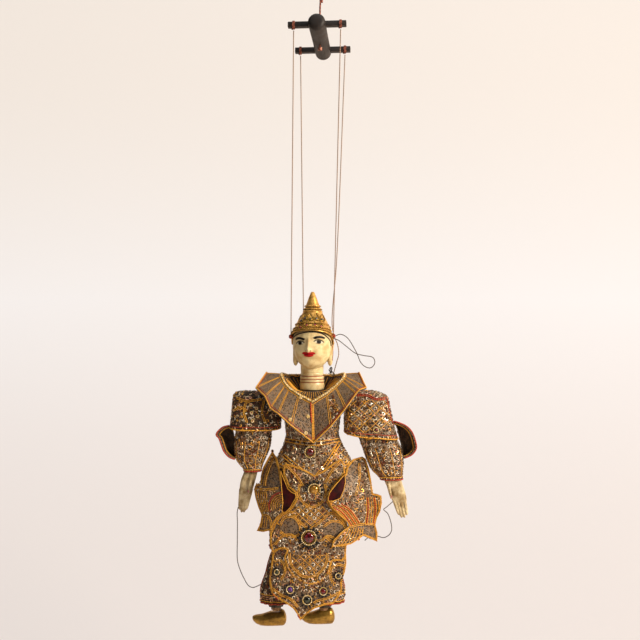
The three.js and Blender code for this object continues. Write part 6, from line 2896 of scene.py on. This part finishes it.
@dataclass
class Hand:
    """A slim painted hand with its fingers together, pointing down."""

    side: Side

    def build(self) -> None:
        """Carves the hand from a flat palm, four fingers and a thumb, then adds the nails."""
        word, shape = self.side.word, HANDS[self.side]
        rows = drawn_ovals(shape.palm, 2.4)
        bm, _ = new_mesh()
        mapped(bm, 40, 40, lambda u, v: level(rows, v).at(math.tau * u), (1, 1))
        bmesh.ops.holes_fill(bm, edges=bm.edges)
        first, last = shape.roots
        nails = []
        for k, (x, y) in enumerate(shape.tips):
            root = Vector(first).lerp(Vector(last), k / 3)
            shares = (0, 0.25, 0.5, 0.75, 0.92, 1)
            line = [seen(*root.lerp(Vector((x, y)), share), -0.4 * MM) for share in shares]
            self.finger(bm, line, (3.4, 3.4, 3.2, 3.0, 2.7, 1.8))
            nails.append((line[-2] + Vector((0, -1.6, 0)) * MM, (1.2, 0.7, 2.6)))
        thumb = [seen(x, y, depth * MM) for x, y, depth in shape.thumb]
        self.finger(bm, thumb, (3.6, 3.5, 2.9, 2.0))
        nails.append((thumb[-1] + Vector((0, -1.9, 2.6)) * MM, (1.5, 0.7, 3.0)))
        bm = remeshed(bm, 0.55, 3)
        skin_faces = len(bm.faces)
        for centre, radii in nails:
            spot = Matrix.Translation(centre) @ Matrix.Diagonal((*(r * MM for r in radii), 1))
            bmesh.ops.create_uvsphere(bm, u_segments=14, v_segments=10, radius=1, matrix=spot)
        bm.faces.ensure_lookup_table()
        for f in bm.faces[skin_faces:]:
            f.material_index = 1
            f.smooth = True
        made = to_object(bm, f"palm_{word}", [HAND_PAINT, NAIL_PAINT], "pale_wood")
        seat(made, f"hand_{word}", f"hand_{word}")

    @staticmethod
    def finger(bm: Mesh, line: Sequence[Vector], radii: Sequence[float]) -> None:
        """Strings overlapping balls along a line, in metres, with radii in millimetres.

        Args:
            bm: the mesh that it joins.
            line: the middle of the finger.
            radii: its radius at each point.
        """
        for (a, b), (r, q) in zip(zip(line, line[1:]), zip(radii, radii[1:])):
            for k in range(5):
                ball = Matrix.Translation(a.lerp(b, k / 4))
                bmesh.ops.create_uvsphere(
                    bm, u_segments=14, v_segments=10, radius=(r + (q - r) * k / 4) * MM, matrix=ball
                )


@dataclass
class HandCords:
    """The thin cords that trail from the hands back to the flaps and skirt."""

    left: tuple[Triple, ...] = (
        (-138.9, -0.5, -224), (-140.6, -2, -232), (-140, -5, -248), (-140, -7, -280), (-140, -3, -314),
        (-136, 2, -331), (-129, 6, -348), (-122, 9, -360), (-115, 12, -364), (-108, 15, -362.5),
        (-99, 18, -359),
    )
    right: tuple[Triple, ...] = (
        (124.1, -2, -214), (112, -12, -222), (107, -18, -225), (113.5, -17, -231), (119.5, -15, -247),
        (121, -12, -260), (117, -6, -270), (108, 0, -276), (99, 4, -274.5), (88, 5, -273), (76, 1, -281),
    )

    def build(self) -> None:
        """Hangs both cords."""
        for side, points in zip(Side, (self.left, self.right)):
            word, path = side.word, [(x, y, NECK + up) for x, y, up in points]
            cord = Cord(f"hand_string_{word}", path, 1.4, DARK_COTTON, "dark_cotton", (f"hand_cord_{word}",))
            cord.ridden(f"hand_{word}")


# Legs

LEGS = {Side.LEFT: (-60, -75), Side.RIGHT: (7, 7)}


@dataclass
class Leg:
    """One leg: a gathered trouser leg over a gilded shoe."""

    side: Side
    levels: tuple[tuple[float, ...], ...] = (
        (-9.6, 0.08, 9, 8), (-10, 0.08, 19, 17), (-28, 0.28, 23, 20), (-48, 0.48, 25, 22),
        (-72, 0.75, 29, 24), (-96, 0.95, 26, 23),
    )
    ankle_levels: tuple[Pair, ...] = ((-84, 14.5), (-92, 15.5), (-99, 14), (-104, 11.5))

    def build(self) -> None:
        """Builds the trouser leg, the ankle and the shoe."""
        knee_x, ankle_x = LEGS[self.side]
        word = self.side.word
        wide = 3.5 if self.side is Side.RIGHT else 0.0
        spread = ankle_x - knee_x + wide
        rows = tuple(
            Oval(knee_x + share * spread, KNEE_Z / MM + dz, a + share * wide, b)
            for dz, share, a, b in self.levels
        )
        tube = ClothTube(
            f"trouser_{word}", f"shin_{word}", (f"trouser_leg_{word}",), rows, DARK_NET_AND_SLEEVE_SHADE, "dark_cloth",
            1.8 * MM, 96, 30,
        )
        tube.pleats, tube.pleat_mm = 13, 1.4
        made, skin = tube.build()
        trim = Trim(f"trouser_{word}_trim", skin, 91 + self.side.value)
        trim.cord(tube.ring(skin, 0.985), 1.2 * MM, Sewn.RED_CORD)
        for v in (0.945, 0.86):
            trim.cord(tube.ring(skin, v))
        trim.row(tube.ring(skin, 0.9), 2.9 * MM)
        outer = 0.5 if self.side is Side.LEFT else 0.0
        trim.cord(tube.seam(skin, outer, 0.2, 0.85), 1.0 * MM, Sewn.RED_CORD)
        trim.strew(4.2 * MM)
        trim.piece(f"shin_{word}", "dark_cloth")
        self.ankle(word)
        self.shoe(word)

    def ankle(self, word: str) -> None:
        """Wraps the ankle in plain cloth between the trousers and the shoe.

        Args:
            word: the side's word.
        """
        x = LEGS[self.side][1]
        rows = tuple(Oval(x, KNEE_Z / MM + dz, a, a) for dz, a in self.ankle_levels)
        tube = ClothTube(
            f"ankle_{word}", f"shin_{word}", (), rows, ANKLE_CLOTH, "dark_cloth", 1.5 * MM, 60, 16
        )
        tube.pleats, tube.pleat_mm = 11, 0.9
        made, _ = tube.build()

    def shoe(self, word: str) -> None:
        """Rounds the shoe's solid off and gilds it.

        Args:
            word: the side's word.
        """
        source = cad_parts[f"shoe_{word}"]
        bm, _ = new_mesh()
        bm.from_mesh(source.data)
        bmesh.ops.remove_doubles(bm, verts=bm.verts, dist=1e-5)
        bm = remeshed(bm, 0.8, 3)
        seat(to_object(bm, f"slipper_{word}", [SHOE_GILT], "gilt"), f"shin_{word}", f"shoe_{word}")


@dataclass
class BareFrame:
    """The wooden limbs, rods and pins, which stay as they are turned and sawn."""

    wood: tuple[str, ...] = ("torso_block", "shoulder_rod", "hip_rod")

    def build(self) -> None:
        """Gives the solids their finishes."""
        names = list(self.wood)
        pins = []
        for side in Side:
            names += [f"{limb}_{side.word}" for limb in ("upper_arm", "forearm", "thigh", "shin")]
            pins += [f"{joint}_pin_{side.word}" for joint in ("elbow", "wrist", "knee")]
        for name in (*names, *pins):
            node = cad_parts[name]
            node.data.materials.clear()
            node.data.materials.append((BRASS if name in pins else BARE_WOOD).material())


MEDALLIONS = (
    Medallion("waist_stone", "waist_medallion", (310, 452.1, -35.6), Sewn.RUBY, radius=10.5, petals=0),
    Medallion(
        "apron_stone_upper", "apron_medallion_upper", (314.2, 489.8, -46), Sewn.AMBER, radius=12, slot="gilt"
    ),
    Medallion("apron_stone_lower", "apron_medallion_lower", (308.8, 537.6, -52.6), Sewn.RUBY, radius=14.5),
)


def main() -> None:
    """Builds the camera, the setting and every piece in turn."""
    setting = Setting()
    setting.camera()
    pieces = [
        setting,
        Strings(),
        HandCords(),
        HeadTrim(),
        Control(),
        Head(),
        Crown(),
        Neck(),
        Jacket(),
        Collar(),
        HipSkirt(),
        LEFT_FLAP,
        LEFT_LAPEL,
        RIGHT_FLAP,
        RIGHT_LAPEL,
        LOWER_APRON,
        UPPER_APRON,
        *MEDALLIONS,
        *(Arm(side) for side in Side),
        *(Leg(side) for side in Side),
        BareFrame(),
    ]
    for piece in pieces:
        log.info("building %s", type(piece).__name__)
        piece.build()


if __name__ == "__main__":
    logging.basicConfig(level=logging.INFO, format="%(message)s")
    main()
